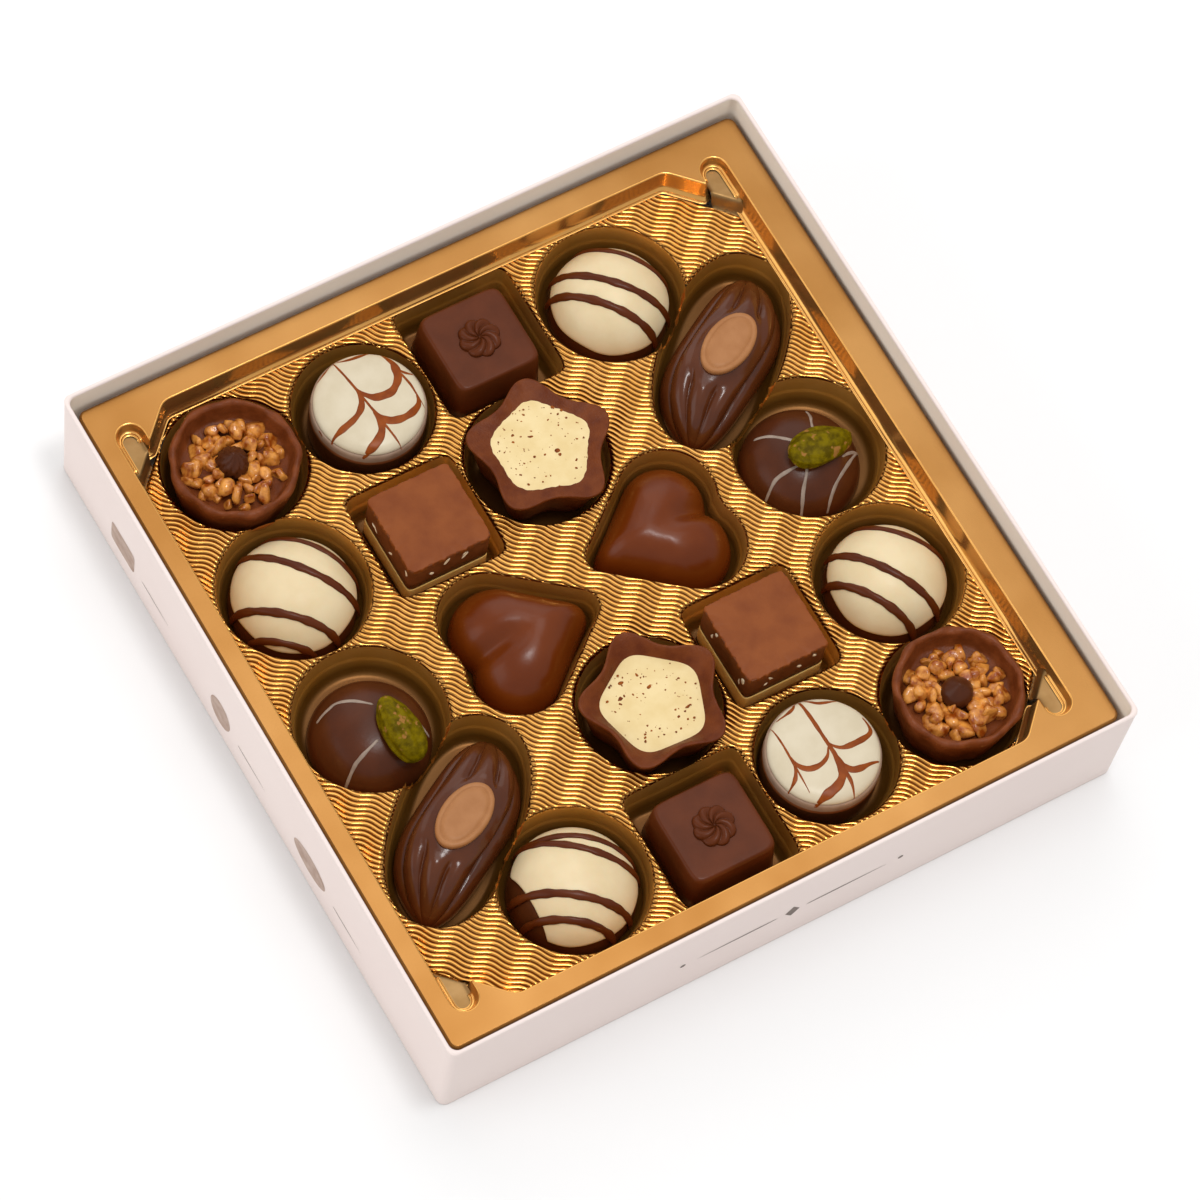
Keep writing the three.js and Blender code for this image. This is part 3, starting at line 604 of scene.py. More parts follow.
def trimmed(points, depth, triangles):
    """Keeps what is deeper than 0, and cuts the triangles that cross the edge."""
    inside = depth[triangles] > 0
    count = inside.sum(axis=1)
    kept = [triangles[count == 3]]
    new_points, start = [], len(points)
    for wanted in (1, 2):
        some = triangles[count == wanted]
        flags = inside[count == wanted]
        odd = np.argmax(flags if wanted == 1 else ~flags, axis=1)
        some = some[np.arange(len(some))[:, None], (odd[:, None] + np.arange(3)) % 3]
        cuts = []
        for other in (1, 2):
            p, q = some[:, 0], some[:, other]
            t = (depth[p] / (depth[p] - depth[q]))[:, None]
            cuts.append(np.arange(len(p)) + start)
            cut = points[p] * (1 - t) + points[q] * t
            cut[:, 2] = FIELD_Z - ROUND_OVER
            new_points.append(cut)
            start += len(p)
        if wanted == 1:
            kept.append(np.stack([some[:, 0], *cuts], axis=1))
        else:
            kept.append(np.stack([cuts[0], some[:, 1], some[:, 2]], axis=1))
            kept.append(np.stack([cuts[0], some[:, 2], cuts[1]], axis=1))
    triangles = np.concatenate(kept)
    points = np.concatenate([points, *new_points])
    used, triangles = np.unique(triangles, return_inverse=True)
    return points[used], triangles.reshape(-1, 3)


sheet_points, sheet_triangles = ripple_sheet()
add_piece("tray_rippled_field", sheet_points, sheet_triangles, FINISH["bright_gold"], ["tray"],
          "gold")
print("rippled field triangles:", len(sheet_triangles))

# %% [markdown]
# ## The cells
# Below its rim each cell is a smooth cup drawn down into the film: a leaning wall, a faint step
# where the mould was relieved, and a floor with a rounded corner. The cups are rings of the
# cell's own outline, so the round, square, heart and pod cells all come from the same section.

# %% The cups
FLOOR_ROUND = 1.9


def cup_section():
    """(how far in from the outline, height) from the rim down to the floor."""
    top = FIELD_Z - ROUND_OVER
    section = [(-0.03, top + 0.06), (0.0, top - 0.1), (0.10, top - 0.6), (0.5, 13.2), (0.62, 12.6),
               (0.82, 12.35), (0.9, 12.0), (1.2, 11.0)]
    for turn in range(0, 7):
        a = math.pi / 2 * turn / 6
        section.append((1.3 + FLOOR_ROUND * (1 - math.cos(a)),
                        CELL_FLOOR_Z + FLOOR_ROUND * (1 - math.sin(a))))
    section += [(4.2, CELL_FLOOR_Z)]
    return section


def in_another_cup(points, own):
    """True where a point of one cup lies in the hollow of a neighbour."""
    inset, level = np.array(cup_section()[:-1])[::-1].T
    inset = np.interp(points[:, 2], level, inset)
    hidden = np.zeros(len(points), bool)
    for number, loop in enumerate(CELL_LOOPS):
        if number != own and math.dist(loop.mean(axis=0), CELL_LOOPS[own].mean(axis=0)) < 45:
            hidden |= distance_to_loop(points[:, :2], loop) < -inset - 0.02
    return hidden


cups = []
for number, (at, outline, turn) in enumerate(cell_places()):
    rings = [ring(outline, z, grow=-inset, count=240) for inset, z in cup_section()][::-1]
    points, faces = rings_mesh(rings, closed_low=True, closed_high=False)
    points = placed(points, (*at, 0), turn)
    hidden = in_another_cup(points, number)
    cups.append((points, [face[::-1] for face in faces if not hidden[list(face)].all()]))
add_piece("tray_cells", *merged(cups), FINISH["drawn_gold"], slot="gold")
print("cups:", len(cups))

# %% [markdown]
# ## The tray's border
# A smooth satin border runs round the field and folds down inside the box. At each corner a
# round-ended finger slot opens into the recess. The border's inner edge is one long loop: the
# recess joined with the four slots. From that loop the border goes outwards in one strip, and
# the wall goes down in another, with a small round between them that catches a bright line.

# %% The border's inner loop
TRAY_HALF = np.array([73.15, 73.45])
EDGE_MIDDLE = TRAY_SHIFT + (0.55, 0.35)  # the middle of the border's outside
SLOT_WIDTH, SLOT_REACH, SLOT_Z, SLOT_DRAFT = 5.6, 67.4, 19.7, 0.9


def arc(middle, radius, start, stop, steps=10):
    angle = np.radians(np.linspace(start, stop, steps))
    return np.stack([middle[0] + radius * np.cos(angle), middle[1] + radius * np.sin(angle)], axis=1)


def corner_loop():
    """The loop through one corner, from the +X side round the slot to the +Y side."""
    (x, y), c, r = RECESS_HALF, RECESS_CHAMFER, RECESS_ROUND
    radius = SLOT_WIDTH / 2
    middle = x - radius
    tangent = r * math.tan(math.radians(22.5))
    slot_foot = x + y - c - (middle - radius)
    return np.concatenate([
        [(x, 0), (x, 20), (x, 40), (x, y - c)],
        [(x, y - c + 4), (x, SLOT_REACH - radius)],
        arc((middle, SLOT_REACH - radius), radius, 8, 172, 18),
        [(middle - radius, SLOT_REACH - radius), (middle - radius, slot_foot)],
        arc((x - c - tangent, y - r), r, 45, 90, 8),
        [(40, y), (20, y), (0, y)],
    ])


def resampled(loop, spacing):
    """The same loop with points at an even spacing."""
    closed = np.vstack([loop, loop[:1]])
    along = np.concatenate([[0], np.cumsum(np.hypot(*np.diff(closed, axis=0).T))])
    count = int(along[-1] / spacing)
    wanted = np.linspace(0, along[-1], count, endpoint=False)
    return np.stack([np.interp(wanted, along, closed[:, k]) for k in (0, 1)], axis=1)


def border_loop():
    corner = corner_loop()
    loop = []
    for sx, sy in [(1, 1), (-1, 1), (-1, -1), (1, -1)]:
        part = corner * (sx, sy)
        loop.append(part if sx * sy > 0 else part[::-1])
    loop = resampled(np.concatenate(loop), 0.35)
    for _ in range(3):
        loop = (np.roll(loop, 1, axis=0) + 2 * loop + np.roll(loop, -1, axis=0)) / 4
    return loop + RECESS_MIDDLE


BORDER_LOOP = border_loop()
print("border loop points:", len(BORDER_LOOP))

# %% The border and the recess wall
EDGE_ROUND, FOOT_ROUND = 0.3, 0.45
FOLD = 0.5  # the border rolls over this far before it goes down inside the box


def outward_normals(loop):
    side = np.roll(loop, -1, axis=0) - np.roll(loop, 1, axis=0)
    side /= np.hypot(*side.T)[:, None]
    return np.stack([side[:, 1], -side[:, 0]], axis=1)


def recess_wall():
    """The wall from its foot up to the border, and the round over that edge."""
    loop, out = BORDER_LOOP, outward_normals(BORDER_LOOP)
    slot_share = 1 - smoothstep(recess_depth(loop), -1.4, -0.3)
    foot = FIELD_Z - 0.3 + (SLOT_Z - FIELD_Z + 0.25) * slot_share
    draft = RECESS_DRAFT + 0.05 + (SLOT_DRAFT - RECESS_DRAFT) * slot_share
    rings = []
    for a in np.linspace(math.pi / 2, 0, 8):
        inset = draft - 0.05 + FOOT_ROUND * (1 - math.cos(a))
        z = foot + 0.42 + FOOT_ROUND * (1 - math.sin(a))
        rings.append(np.column_stack([loop - out * inset[:, None], z]))
    for share in (0.85, 0.5, 0.15, 0.03):
        z = foot + (FLANGE_Z - EDGE_ROUND - foot) * (1 - share)
        rings.append(np.column_stack([loop - out * (draft * share)[:, None], z]))
    for a in np.linspace(0, math.pi / 2, 6)[1:]:
        shifted = loop + out * EDGE_ROUND * (1 - math.cos(a))
        z = np.full(len(loop), FLANGE_Z - EDGE_ROUND * (1 - math.sin(a)))
        rings.append(np.column_stack([shifted, z]))
    return rings


def flat_between(inner, outer, z):
    """Triangles that fill the flat ring between two loops."""
    both = np.vstack([inner, outer])
    edges = [(i, (i + 1) % len(inner)) for i in range(len(inner))]
    edges += [(len(inner) + i, len(inner) + (i + 1) % len(outer)) for i in range(len(outer))]
    points, _, triangles, *_ = delaunay_2d_cdt([Vector(p) for p in both], edges, [], 0, 1e-4)
    flat = np.array([(p.x, p.y, z) for p in points])
    triangles = np.array(triangles)
    triangles = triangles[distance_to_loop(flat[triangles].mean(axis=1)[:, :2], inner) > 0]
    facing_up = []
    for a, b, c in triangles.tolist():
        turn = np.cross((flat[b] - flat[a])[:2], (flat[c] - flat[a])[:2])
        facing_up.append((a, b, c) if turn > 0 else (a, c, b))
    return flat, facing_up


wall_rings = recess_wall()
EDGE_STEPS = [(0, 0), (0.2, 0.05), (0.38, 0.18), (0.48, 0.4), (FOLD, 1), (FOLD, 5)]
outer_rings = [rounded_box(TRAY_HALF - FOLD + out, 1.3 + out, FLANGE_Z - drop) + (*EDGE_MIDDLE, 0)
               for out, drop in EDGE_STEPS]
wall, wall_faces = rings_mesh(wall_rings, False, False)
fold, fold_faces = rings_mesh(outer_rings, False, False)
add_piece("tray_border", *merged([
    (fold, [face[::-1] for face in fold_faces]),
    flat_between(wall_rings[-1][:, :2], outer_rings[0][:, :2], FLANGE_Z),
]), FINISH["gold"], slot="gold", sharp=60)
add_piece("tray_recess_wall", wall, [face[::-1] for face in wall_faces], FINISH["mirror_gold"],
          slot="gold")
print("border faces:", len(wall_faces) + len(fold_faces))

# %% The floors of the finger slots
SLOT_START = 52.0  # where a slot's sheet begins, well inside the recess


def slot_floor(sx, sy):
    """A small sheet: level in the slot, and falling to the field where the slot opens."""
    middle, half = RECESS_HALF[0] - SLOT_WIDTH / 2, SLOT_WIDTH / 2 - SLOT_DRAFT + 0.35
    far = SLOT_REACH - SLOT_WIDTH / 2
    rounded_end = far + half * np.sin(np.linspace(0.1, 1.57, 10))
    along = np.concatenate([np.linspace(SLOT_START, far, 48), rounded_end])
    reach = np.sqrt(np.clip(half ** 2 - np.clip(along - far, 0, half) ** 2, 1e-4, None))
    across = np.linspace(-1, 1, 13)
    x = middle + across[None, :] * reach[:, None]
    y = np.repeat(along[:, None], len(across), axis=1)
    flat = np.stack([x.ravel() * sx, y.ravel() * sy], axis=1) + RECESS_MIDDLE
    depth = recess_depth(flat)
    z = SLOT_Z - (SLOT_Z - FIELD_Z + 0.4) * smoothstep(depth, 0.0, 1.1)
    corner = np.tile(1 - np.sqrt(1 - 0.94 * across ** 6), len(along))
    points = np.column_stack([flat, z + 0.5 * corner * (depth < 0)])
    faces = []
    for k in range(len(along) - 1):
        for i in range(len(across) - 1):
            a = k * len(across) + i
            face = (a, a + 1, a + len(across) + 1, a + len(across))
            if depth[list(face)].min() < 1.1:
                faces.append(face if sx * sy > 0 else face[::-1])
    return points, faces


add_piece("tray_slot_floors", *merged([slot_floor(sx, sy) for sx in (-1, 1) for sy in (-1, 1)]),
          FINISH["slot_gold"], slot="gold")
print("finger slots: 4")

# %% [markdown]
# ## Where the pralines stand
# Each praline has slid a little in its cell. It is modelled round its own middle, standing on
# height 0, and moved to its cell when its piece is made.

# %% Standing a praline in its cell
def stand(cell, half, slid, turn=0.0):
    """Place and turn for a praline; half 1 is the cell on the other side of the tray's middle."""
    at = np.array(CELLS[cell][0]) * (1 - 2 * half) + TRAY_SHIFT + slid
    return (*at, REST_Z), turn


def add_praline_piece(name, spot, parts, finish, replaces=(), slot=None, sharp=None):
    points, faces = merged(parts)
    return add_piece(name, placed(points, *spot), faces, FINISH[finish], replaces, slot, sharp)


print("first cup stands at", [round(float(v), 1) for v in stand("nut_cup", 0, (0, 0))[0]])

# %% [markdown]
# ## The white domes
# A white dome is a dark centre dipped in white chocolate up to a line just above its foot, with
# dark stripes poured over it. Painting the stripes on would lose their rounded, shining backs, so
# each is laid as a half-round line that follows the dome, swells a little and thins at its ends.

# %% Domes and their coats
DOME_HEIGHT, DOME_POWER, COAT = 12.2, 2.2, 0.35
STRIPE_WIDTH, STRIPE_PROUD = 1.65, 0.5


def dome_rings(radius, height, power, start=0.0, lift=0.0, levels=26, count=128):
    """Rings of a domed body from start (0 the foot, 1 the top), which may differ round it."""
    angle = full_turn(count)
    start = np.broadcast_to(start, angle.shape)
    rings = []
    for share in np.linspace(0, 0.995, levels) ** 1.15:
        rise = (start + (1 - start) * share) * math.pi / 2
        out = np.cos(rise) ** (2 / power)
        up = np.sin(rise) ** (2 / power)
        slope = np.stack([out ** (power - 1) / radius, up ** (power - 1) / height])
        slope /= np.hypot(*slope)
        bead = lift * math.sqrt(1 - (1 - min(share / 0.035, 1)) ** 2)
        reach = radius * out + bead * slope[0]
        rings.append(polar(reach, angle, height * up + bead * slope[1]))
    return rings


def dome_surface(radius, height, power):
    """Height of the dome over any point in plan."""
    def height_at(plan):
        share = np.clip(np.hypot(plan[:, 0], plan[:, 1]) / radius, 0, 0.9995)
        return height * (1 - share ** power) ** (1 / power)
    return height_at


def poured_line(plan, height_at, width, proud, lowest=0.9, step=0.3, taper=0.5, seed=0):
    """A half-round line laid over a surface, along a path in plan."""
    path = np.column_stack([plan, height_at(plan)])
    path = path[path[:, 2] > lowest]
    along = np.concatenate([[0], np.cumsum(np.linalg.norm(np.diff(path, axis=0), axis=1))])
    count = max(8, int(along[-1] / step))
    at = np.linspace(0, along[-1], count)
    path = np.stack([np.interp(at, along, path[:, k]) for k in range(3)], axis=1)
    forward = np.gradient(path, axis=0)
    forward /= np.linalg.norm(forward, axis=1)[:, None]
    probe = 0.05
    slope = np.stack([(height_at(path[:, :2] + move) - height_at(path[:, :2] - move))
                      / (2 * probe) for move in ((probe, 0), (0, probe))], axis=1)
    normal = np.column_stack([-np.clip(slope, -12, 12), np.ones(count)])
    normal -= (normal * forward).sum(axis=1)[:, None] * forward
    normal /= np.linalg.norm(normal, axis=1)[:, None]
    side = np.cross(normal, forward)
    end = np.minimum(at, at[-1] - at)
    swell = 1 + 0.10 * np.sin(at * 0.9 + seed) + 0.06 * np.sin(at * 2.1 + 2 * seed)
    narrow = (1 - taper) + taper * smoothstep(end, 0, 5)
    cap = np.sqrt(1 - (1 - np.clip(end / (0.5 * width), 0.02, 1)) ** 2)
    half = 0.5 * width * swell * narrow * cap
    turn = full_turn(14)
    lift = np.where(np.sin(turn) > 0, np.sin(turn), 0.3 * np.sin(turn))
    rings = [path[k] + np.cos(turn)[:, None] * half[k] * side[k]
             + (lift * proud * narrow[k] * cap[k])[:, None] * normal[k] for k in range(count)]
    return rings_mesh(rings)


STRIPED_DOMES = [
    # cell, half, radius, stripes as (offset, slope, bend), bare side
    ("dome_a", 0, 12.4, [(-4.6, -0.08, 0), (0.25, -0.03, 0), (8.1, -0.05, -0.008)], None),
    ("dome_b", 0, 12.8, [(-7.15, 0.065, 0), (2.5, -0.1, 0), (9.1, -0.1, -0.015),
                         (-11.3, 0.08, 0.008)], None),
    ("dome_b", 1, 12.4, [(-7.5, -0.23, 0), (-1.7, -0.215, 0), (7.65, -0.055, 0)], None),
    ("dome_a", 1, 12.8, [(-4.6, 0.17, -0.005), (-9, 0.2, -0.006), (5.2, 0.05, -0.004),
                         (8.2, 0.15, -0.02)], 9.9),
]

for number, (cell, half, radius, stripes, bare) in enumerate(STRIPED_DOMES, 1):
    name, spot = f"striped_dome_{number}", stand(cell, half, (0.1, -0.1), -45)
    angle = full_turn(128)
    coat_edge = 0.2 + 0.018 * np.sin(3 * angle + number) + 0.008 * np.sin(7 * angle + 2 * number)
    if bare:
        across = -np.cos(angle - math.radians(45)) * radius
        share = np.clip(bare / np.maximum(across, bare), 0, 1) ** (DOME_POWER / 2)
        coat_edge = np.maximum(coat_edge, np.arccos(share) / (math.pi / 2))
    centre = rings_mesh(dome_rings(radius - COAT, DOME_HEIGHT - COAT, DOME_POWER))
    coat = rings_mesh(dome_rings(radius - COAT, DOME_HEIGHT - COAT, DOME_POWER, coat_edge, COAT),
                      closed_low=False)
    add_praline_piece(f"{name}_centre", spot, [centre], "dark", [name], "dark")
    add_praline_piece(f"{name}_coat", spot, [coat], "white", [name], "white")
    u = np.linspace(-radius, radius, 600)
    lines = []
    for k, (offset, slope, bend) in enumerate(stripes):
        plan = np.stack([u, offset + slope * u + bend * u * u], axis=1)
        plan = plan[np.hypot(*plan.T) < radius * 0.9995]
        lines.append(poured_line(plan, dome_surface(radius, DOME_HEIGHT, DOME_POWER), STRIPE_WIDTH,
                                 STRIPE_PROUD, taper=0.35, seed=number + 2 * k))
    add_praline_piece(f"{name}_stripes", spot, lines, "drizzle", [name], "dark")
print("striped domes:", len(STRIPED_DOMES))

# %% [markdown]
# ## The nut cups
# A cast milk chocolate cup holds a heap of chopped, caramelised nuts with a piped drop in the
# middle. Chopped nuts have flat broken faces with eased edges. A ball cut by a handful of planes
# gives just that, and a soft cut between the planes eases the edges.

# %% Chopped nuts
NUT_CUP_RADIUS, NUT_CUP_FOOT, NUT_CUP_WALL, NUT_BED = 12.8, 0.84, 1.6, 8.2
NUT_CUP_EDGE = 11.2  # height at which the wall starts to round over
NUT_GAP = 3.0  # the nuts leave this much room for the drop


def ball(subdivisions):
    """Directions and triangles of an even ball."""
    bm = bmesh.new()
    bmesh.ops.create_icosphere(bm, subdivisions=subdivisions, radius=1)
    points = np.array([vert.co[:] for vert in bm.verts])
    faces = [tuple(vert.index for vert in face.verts) for face in bm.faces]
    bm.free()
    return points, faces


BALL = ball(3)


def chunk(random, size, cuts=9, hardness=9):
    """A broken piece: a ball cut by soft planes, stretched and turned any way."""
    points, faces = BALL
    planes = random.normal(size=(cuts, 3))
    planes /= np.linalg.norm(planes, axis=1)[:, None]
    depth = random.uniform(0.55, 1.0, cuts)
    reach = np.maximum(points @ planes.T, 0) / depth
    radius = 1 / np.maximum((reach ** hardness).sum(axis=1) ** (1 / hardness), 0.75)
    shape = points * radius[:, None] * random.uniform(0.7, 1.15, 3) * size
    spin = np.linalg.qr(random.normal(size=(3, 3)))[0]
    if np.linalg.det(spin) < 0:
        spin[:, 0] *= -1
    return shape @ spin.T, faces


def cup_rim(seed, count=160):
    """The cup's outer radius round it, uneven as a cast cup that was tapped out is."""
    angle = full_turn(count)
    return angle, (NUT_CUP_RADIUS - 0.05 + 0.22 * np.cos(9 * angle + seed)
                   + 0.15 * np.cos(4 * angle) + 0.06 * np.cos(17 * angle + 2 * seed))


def cup_shell(seed):
    angle, rim = cup_rim(seed)
    inner = NUT_CUP_RADIUS - NUT_CUP_WALL + 0.14 * np.sin(6 * angle + seed) + 0.1 * np.sin(13 * angle)
    uneven = 0.2 * np.sin(5 * angle + seed) + 0.15 * np.sin(11 * angle) + 0.09 * np.sin(23 * angle)
    profile = [(rim * NUT_CUP_FOOT - 0.3, 0.0), (rim * NUT_CUP_FOOT, 0.25)]
    profile += [(rim * (NUT_CUP_FOOT + (1 - NUT_CUP_FOOT) * z / NUT_CUP_EDGE), z)
                for z in (3, 6, 9, NUT_CUP_EDGE)]
    for turn in np.linspace(0, math.pi, 9)[1:-1]:
        middle, reach = (rim + inner) / 2, (rim - inner) / 2
        profile.append((middle + reach * np.cos(turn), NUT_CUP_EDGE + (1.0 + uneven) * np.sin(turn)))
    profile += [(inner, 11.0), (inner - 0.3, 9.8), (inner - 0.7, 8.5), (inner - 1.2, NUT_BED)]
    return rings_mesh([polar(reach, angle, z) for reach, z in profile])


def nut_heap(seed, count=54, reach_out=9.3):
    """Chunks laid in rounds, the outer ones lower, with every fourth one on top of the others."""
    random = np.random.default_rng(seed)
    chunks = []
    golden = math.pi * (3 - math.sqrt(5))
    for k in range(count):
        reach = math.sqrt(NUT_GAP ** 2 + (reach_out ** 2 - NUT_GAP ** 2) * (k + 0.5) / count)
        turn = k * golden + random.uniform(-0.16, 0.16)
        shape, faces = chunk(random, random.uniform(1.1, 1.95), cuts=7, hardness=14)
        lift = NUT_BED + 0.4 + 1.1 * (k % 4 == 0) + random.uniform(0, 0.5)
        lift -= 0.9 * smoothstep(reach, 6.5, reach_out)
        chunks.append((shape + (reach * math.cos(turn), reach * math.sin(turn), lift), faces))
    return chunks


DROP_PROFILE = [(0, 0.9), (0.08, 0.99), (0.2, 1.02), (0.35, 0.98), (0.5, 0.87), (0.62, 0.71),
                (0.73, 0.52), (0.83, 0.34), (0.92, 0.18), (1.0, 0.05)]


def piped_drop(height, radius, ridges, depth):
    """A piped drop: ridges that turn as the nozzle turned, drawn up to a tip."""
    angle = full_turn(120)
    rings = []
    for z, reach in DROP_PROFILE:
        wave = np.abs(np.cos(ridges / 2 * (angle - 1.9 * z))) ** 0.8
        out = radius * reach * (1 - depth + 1.2 * depth * wave)
        rings.append(polar(out, angle, NUT_BED + 0.9 + z * height))
    return rings_mesh(rings)


NUT_CUPS = [  # place, seed, the drop's height, radius, ridges and their depth
    (stand("nut_cup", 0, (-0.4, -0.7)), 3, (4.9, 3.2, 9, 0.2)),
    (stand("nut_cup", 1, (0.7, 0.1), 40), 8, (4.5, 3.2, 5, 0.04)),
]
for number, (spot, seed, drop) in enumerate(NUT_CUPS, 1):
    name = f"nut_cup_{number}"
    add_praline_piece(f"{name}_cast_shell", spot, [cup_shell(seed)], "cup_milk", [f"{name}_shell"],
                      "milk", 70)
    add_praline_piece(f"{name}_chopped_nuts", spot, nut_heap(seed), "brittle", [f"{name}_nuts"],
                      "brittle")
    drop_points, drop_faces = piped_drop(*drop)
    add_praline_piece(f"{name}_piped_drop", spot, [(drop_points + (-0.5, 0.1, 0), drop_faces)],
                      "dark", [f"{name}_drop"], "dark")
print("nut cups:", len(NUT_CUPS))

# %% [markdown]
# ## The marbled rounds
# A round is dipped and then iced. While the icing is wet, caramel-brown lines are laid across it
# and a needle is drawn through them, which pulls each line out into long points.
# The lines lie flush in the icing, so here they are very thin ribbons on it.

# %% The rounds and their icing
ICING_RADIUS, ICING_LOW, ICING_HIGH = 10.9, 9.9, 11.6
RIBBON_REACH, RIBBON_PROUD = 11.33, 0.06


def marbled_body():
    rings = [ring(circle(reach), z) for reach, z in
             [(11.0, 0), (11.3, 0.3), (11.4, 2), (11.45, 3.5), (11.45, 6), (11.35, 8.5), (11.25, 9.3),
              (11.05, 9.55), (10.6, 9.7)]]
    return rings_mesh(rings)


def icing_height(plan):
    share = np.clip(np.hypot(plan[:, 0], plan[:, 1]) / ICING_RADIUS, 0, 0.9995)
    return ICING_LOW - 0.2 + (ICING_HIGH - ICING_LOW + 0.2) * (1 - share ** 5) ** (1 / 2.2)


def icing():
    rings = []
    for share in np.sin(np.linspace(math.pi / 2 * 0.995, 0.02, 22)):
        edge = ring(circle(ICING_RADIUS * share), 0, count=128)
        edge[:, 2] = icing_height(edge[:, :2])
        rings.append(edge)
    rings.insert(0, ring(circle(ICING_RADIUS - 0.15), ICING_LOW - 0.25, count=128))
    return rings_mesh(rings)


def smooth_path(points, steps=14):
    """A rounded path through the points."""
    points = np.array(points, float)
    padded = np.vstack([2 * points[0] - points[1], points, 2 * points[-1] - points[-2]])
    path = []
    for a, b, c, d in zip(padded, padded[1:], padded[2:], padded[3:]):
        t = np.linspace(0, 1, steps, endpoint=False)[:, None]
        path.append(0.5 * (2 * b + (c - a) * t + (2 * a - 5 * b + 4 * c - d) * t ** 2
                           + (3 * b - a - 3 * c + d) * t ** 3))
    return np.vstack([*path, points[-1:]])


def iced_height(plan):
    """Height of the icing, and outside it of the body's shoulder, for lines that run over."""
    reach = np.hypot(plan[:, 0], plan[:, 1])
    shoulder = np.interp(reach, [10.9, 11.05, 11.25, 11.38], [9.8, 9.6, 9.3, 7.4])
    return np.where(reach < ICING_RADIUS * 0.998, icing_height(plan), shoulder)


MARBLING = {  # lines in plan round the round's middle, each with its width
    "marbled_1": (stand("marbled", 0, (0.7, -0.8)), [
        ([(-2.1, 11.4), (-2, 9.1), (-1.6, 6.4), (-0.9, 1.7), (-0.2, -3.6), (0.6, -8.8),
          (1, -11.2)], 0.4),
        ([(7, 8.2), (7.9, 4.3), (8.8, 0), (8.9, -2.5), (9.1, -5.8)], 0.4),
        ([(-1.2, 3.8), (-0.8, 2.5), (0, 1.3), (1.2, 0.2), (2.8, -0.2), (4.7, -0.2), (6.3, 0.8),
          (7.3, 1.9), (7.8, 3.3), (8.1, 5.2), (7.8, 6.7), (7.2, 8)], 1.25),
        ([(-0.5, -1), (-0.2, -3), (0.4, -4.5), (1.6, -5.6), (3.6, -6.1), (5.9, -5.9), (7.9, -5),
          (8.6, -4), (8.9, -2.5)], 1.2),
        ([(8.1, 4.6), (8.7, 3), (9.6, 2.1), (10.7, 1.6)], 0.9),
        ([(-1.2, 3.8), (-1.2, 1.8), (-1.7, 0.1), (-3, -1.3), (-5, -2.3), (-7.6, -3), (-9.7, -3.6),
          (-10.7, -4.2)], 1.0),
        ([(-10.6, -4.2), (-11.1, -2.4), (-11.2, -0.2)], 0.9),
        ([(-0.5, -2.2), (-0.4, -4.3), (-0.7, -6.1), (-1.8, -7.5), (-3.7, -8.6), (-6, -9.3),
          (-6.9, -9.0)], 1.3),
        ([(-1.4, 10.6), (-0.3, 10.1), (1.4, 9.7), (3.1, 9.6), (4.9, 9.5), (6.0, 9.2)], 0.8),
        ([(-2.7, 10.8), (-3.6, 10.1), (-5.1, 9.3), (-6.9, 8.4)], 0.8),
    ]),
    "marbled_2": (stand("marbled", 1, (-1.0, 0.3)), [
        ([(-6.7, 8.8), (-6.7, 4.5), (-6.9, 0), (-7.1, -6.5)], 0.35),
        ([(0.8, 11.3), (0.9, 6.8), (1, 2.1), (1.1, -2.2), (1.1, -6.5), (0.9, -8.7), (0.2, -11)], 0.6),
        ([(0.9, 1.2), (1.8, -0.4), (3.1, -1.4), (5.1, -1.7), (7.7, -1.6), (9.3, -1.2), (10, -0.4),
          (10.1, 1.1), (9.9, 2.5)], 0.9),
        ([(1, -1.4), (1.2, -3.8), (1.7, -5.4), (2.7, -6.3), (4.3, -6.6), (6.2, -6.6), (8.3, -6.8)],
         1.0),
        ([(-6.8, 1.9), (-6.4, -0.5), (-5.4, -1.9), (-3.9, -2.5), (-2, -2.4), (-0.3, -1.5),
          (0.8, 0.1)], 0.9),
        ([(0.9, -0.6), (1, -2.9), (0.8, -5.2), (-0.1, -6.6), (-1.8, -7.7), (-4.4, -8.3), (-6.7, -8.8),
          (-7.2, -8.7)], 1.4),
        ([(-6.8, 0.3), (-7.3, -1.4), (-8.2, -2.8), (-9.4, -3.7), (-10.4, -4.2)], 0.8),
        ([(0.7, 11.1), (-0.2, 10.8), (-1, 10.1), (-2.6, 9.6), (-5.2, 9.3)], 0.8),
        ([(1.6, 10.8), (2.7, 9.8), (3.7, 8.9), (5.2, 8.3), (7.6, 7.7)], 0.8),
    ]),
}
for name, (spot, ribbons) in MARBLING.items():
    add_praline_piece(f"{name}_dipped_round", spot, [marbled_body()], "glaze_edge",
                      [f"{name}_body"], "dark")
    add_praline_piece(f"{name}_white_icing", spot, [icing()], "icing", [f"{name}_icing"], "white")
    lines = []
    for k, (points, width) in enumerate(ribbons):
        plan = smooth_path(points)
        plan = plan[np.hypot(*plan.T) < RIBBON_REACH]
        lines.append(poured_line(plan, iced_height, 1.3 * width, RIBBON_PROUD, lowest=7,
                                 taper=0.7, seed=k))
    add_praline_piece(f"{name}_ribbons", spot, lines, "caramel_ribbon", slot="caramel")
print("marbled rounds:", len(MARBLING))

# %% [markdown]
# ## The dark squares
# A square is cast in a mould, so its edges are eased and its sides lean in for the mould to let
# go. The top carries a twisted rosette from the same mould.

# %% Dark squares
SQUARE_FOOT, SQUARE_TOP, SQUARE_HEIGHT = 9.8, 9.0, 10.4


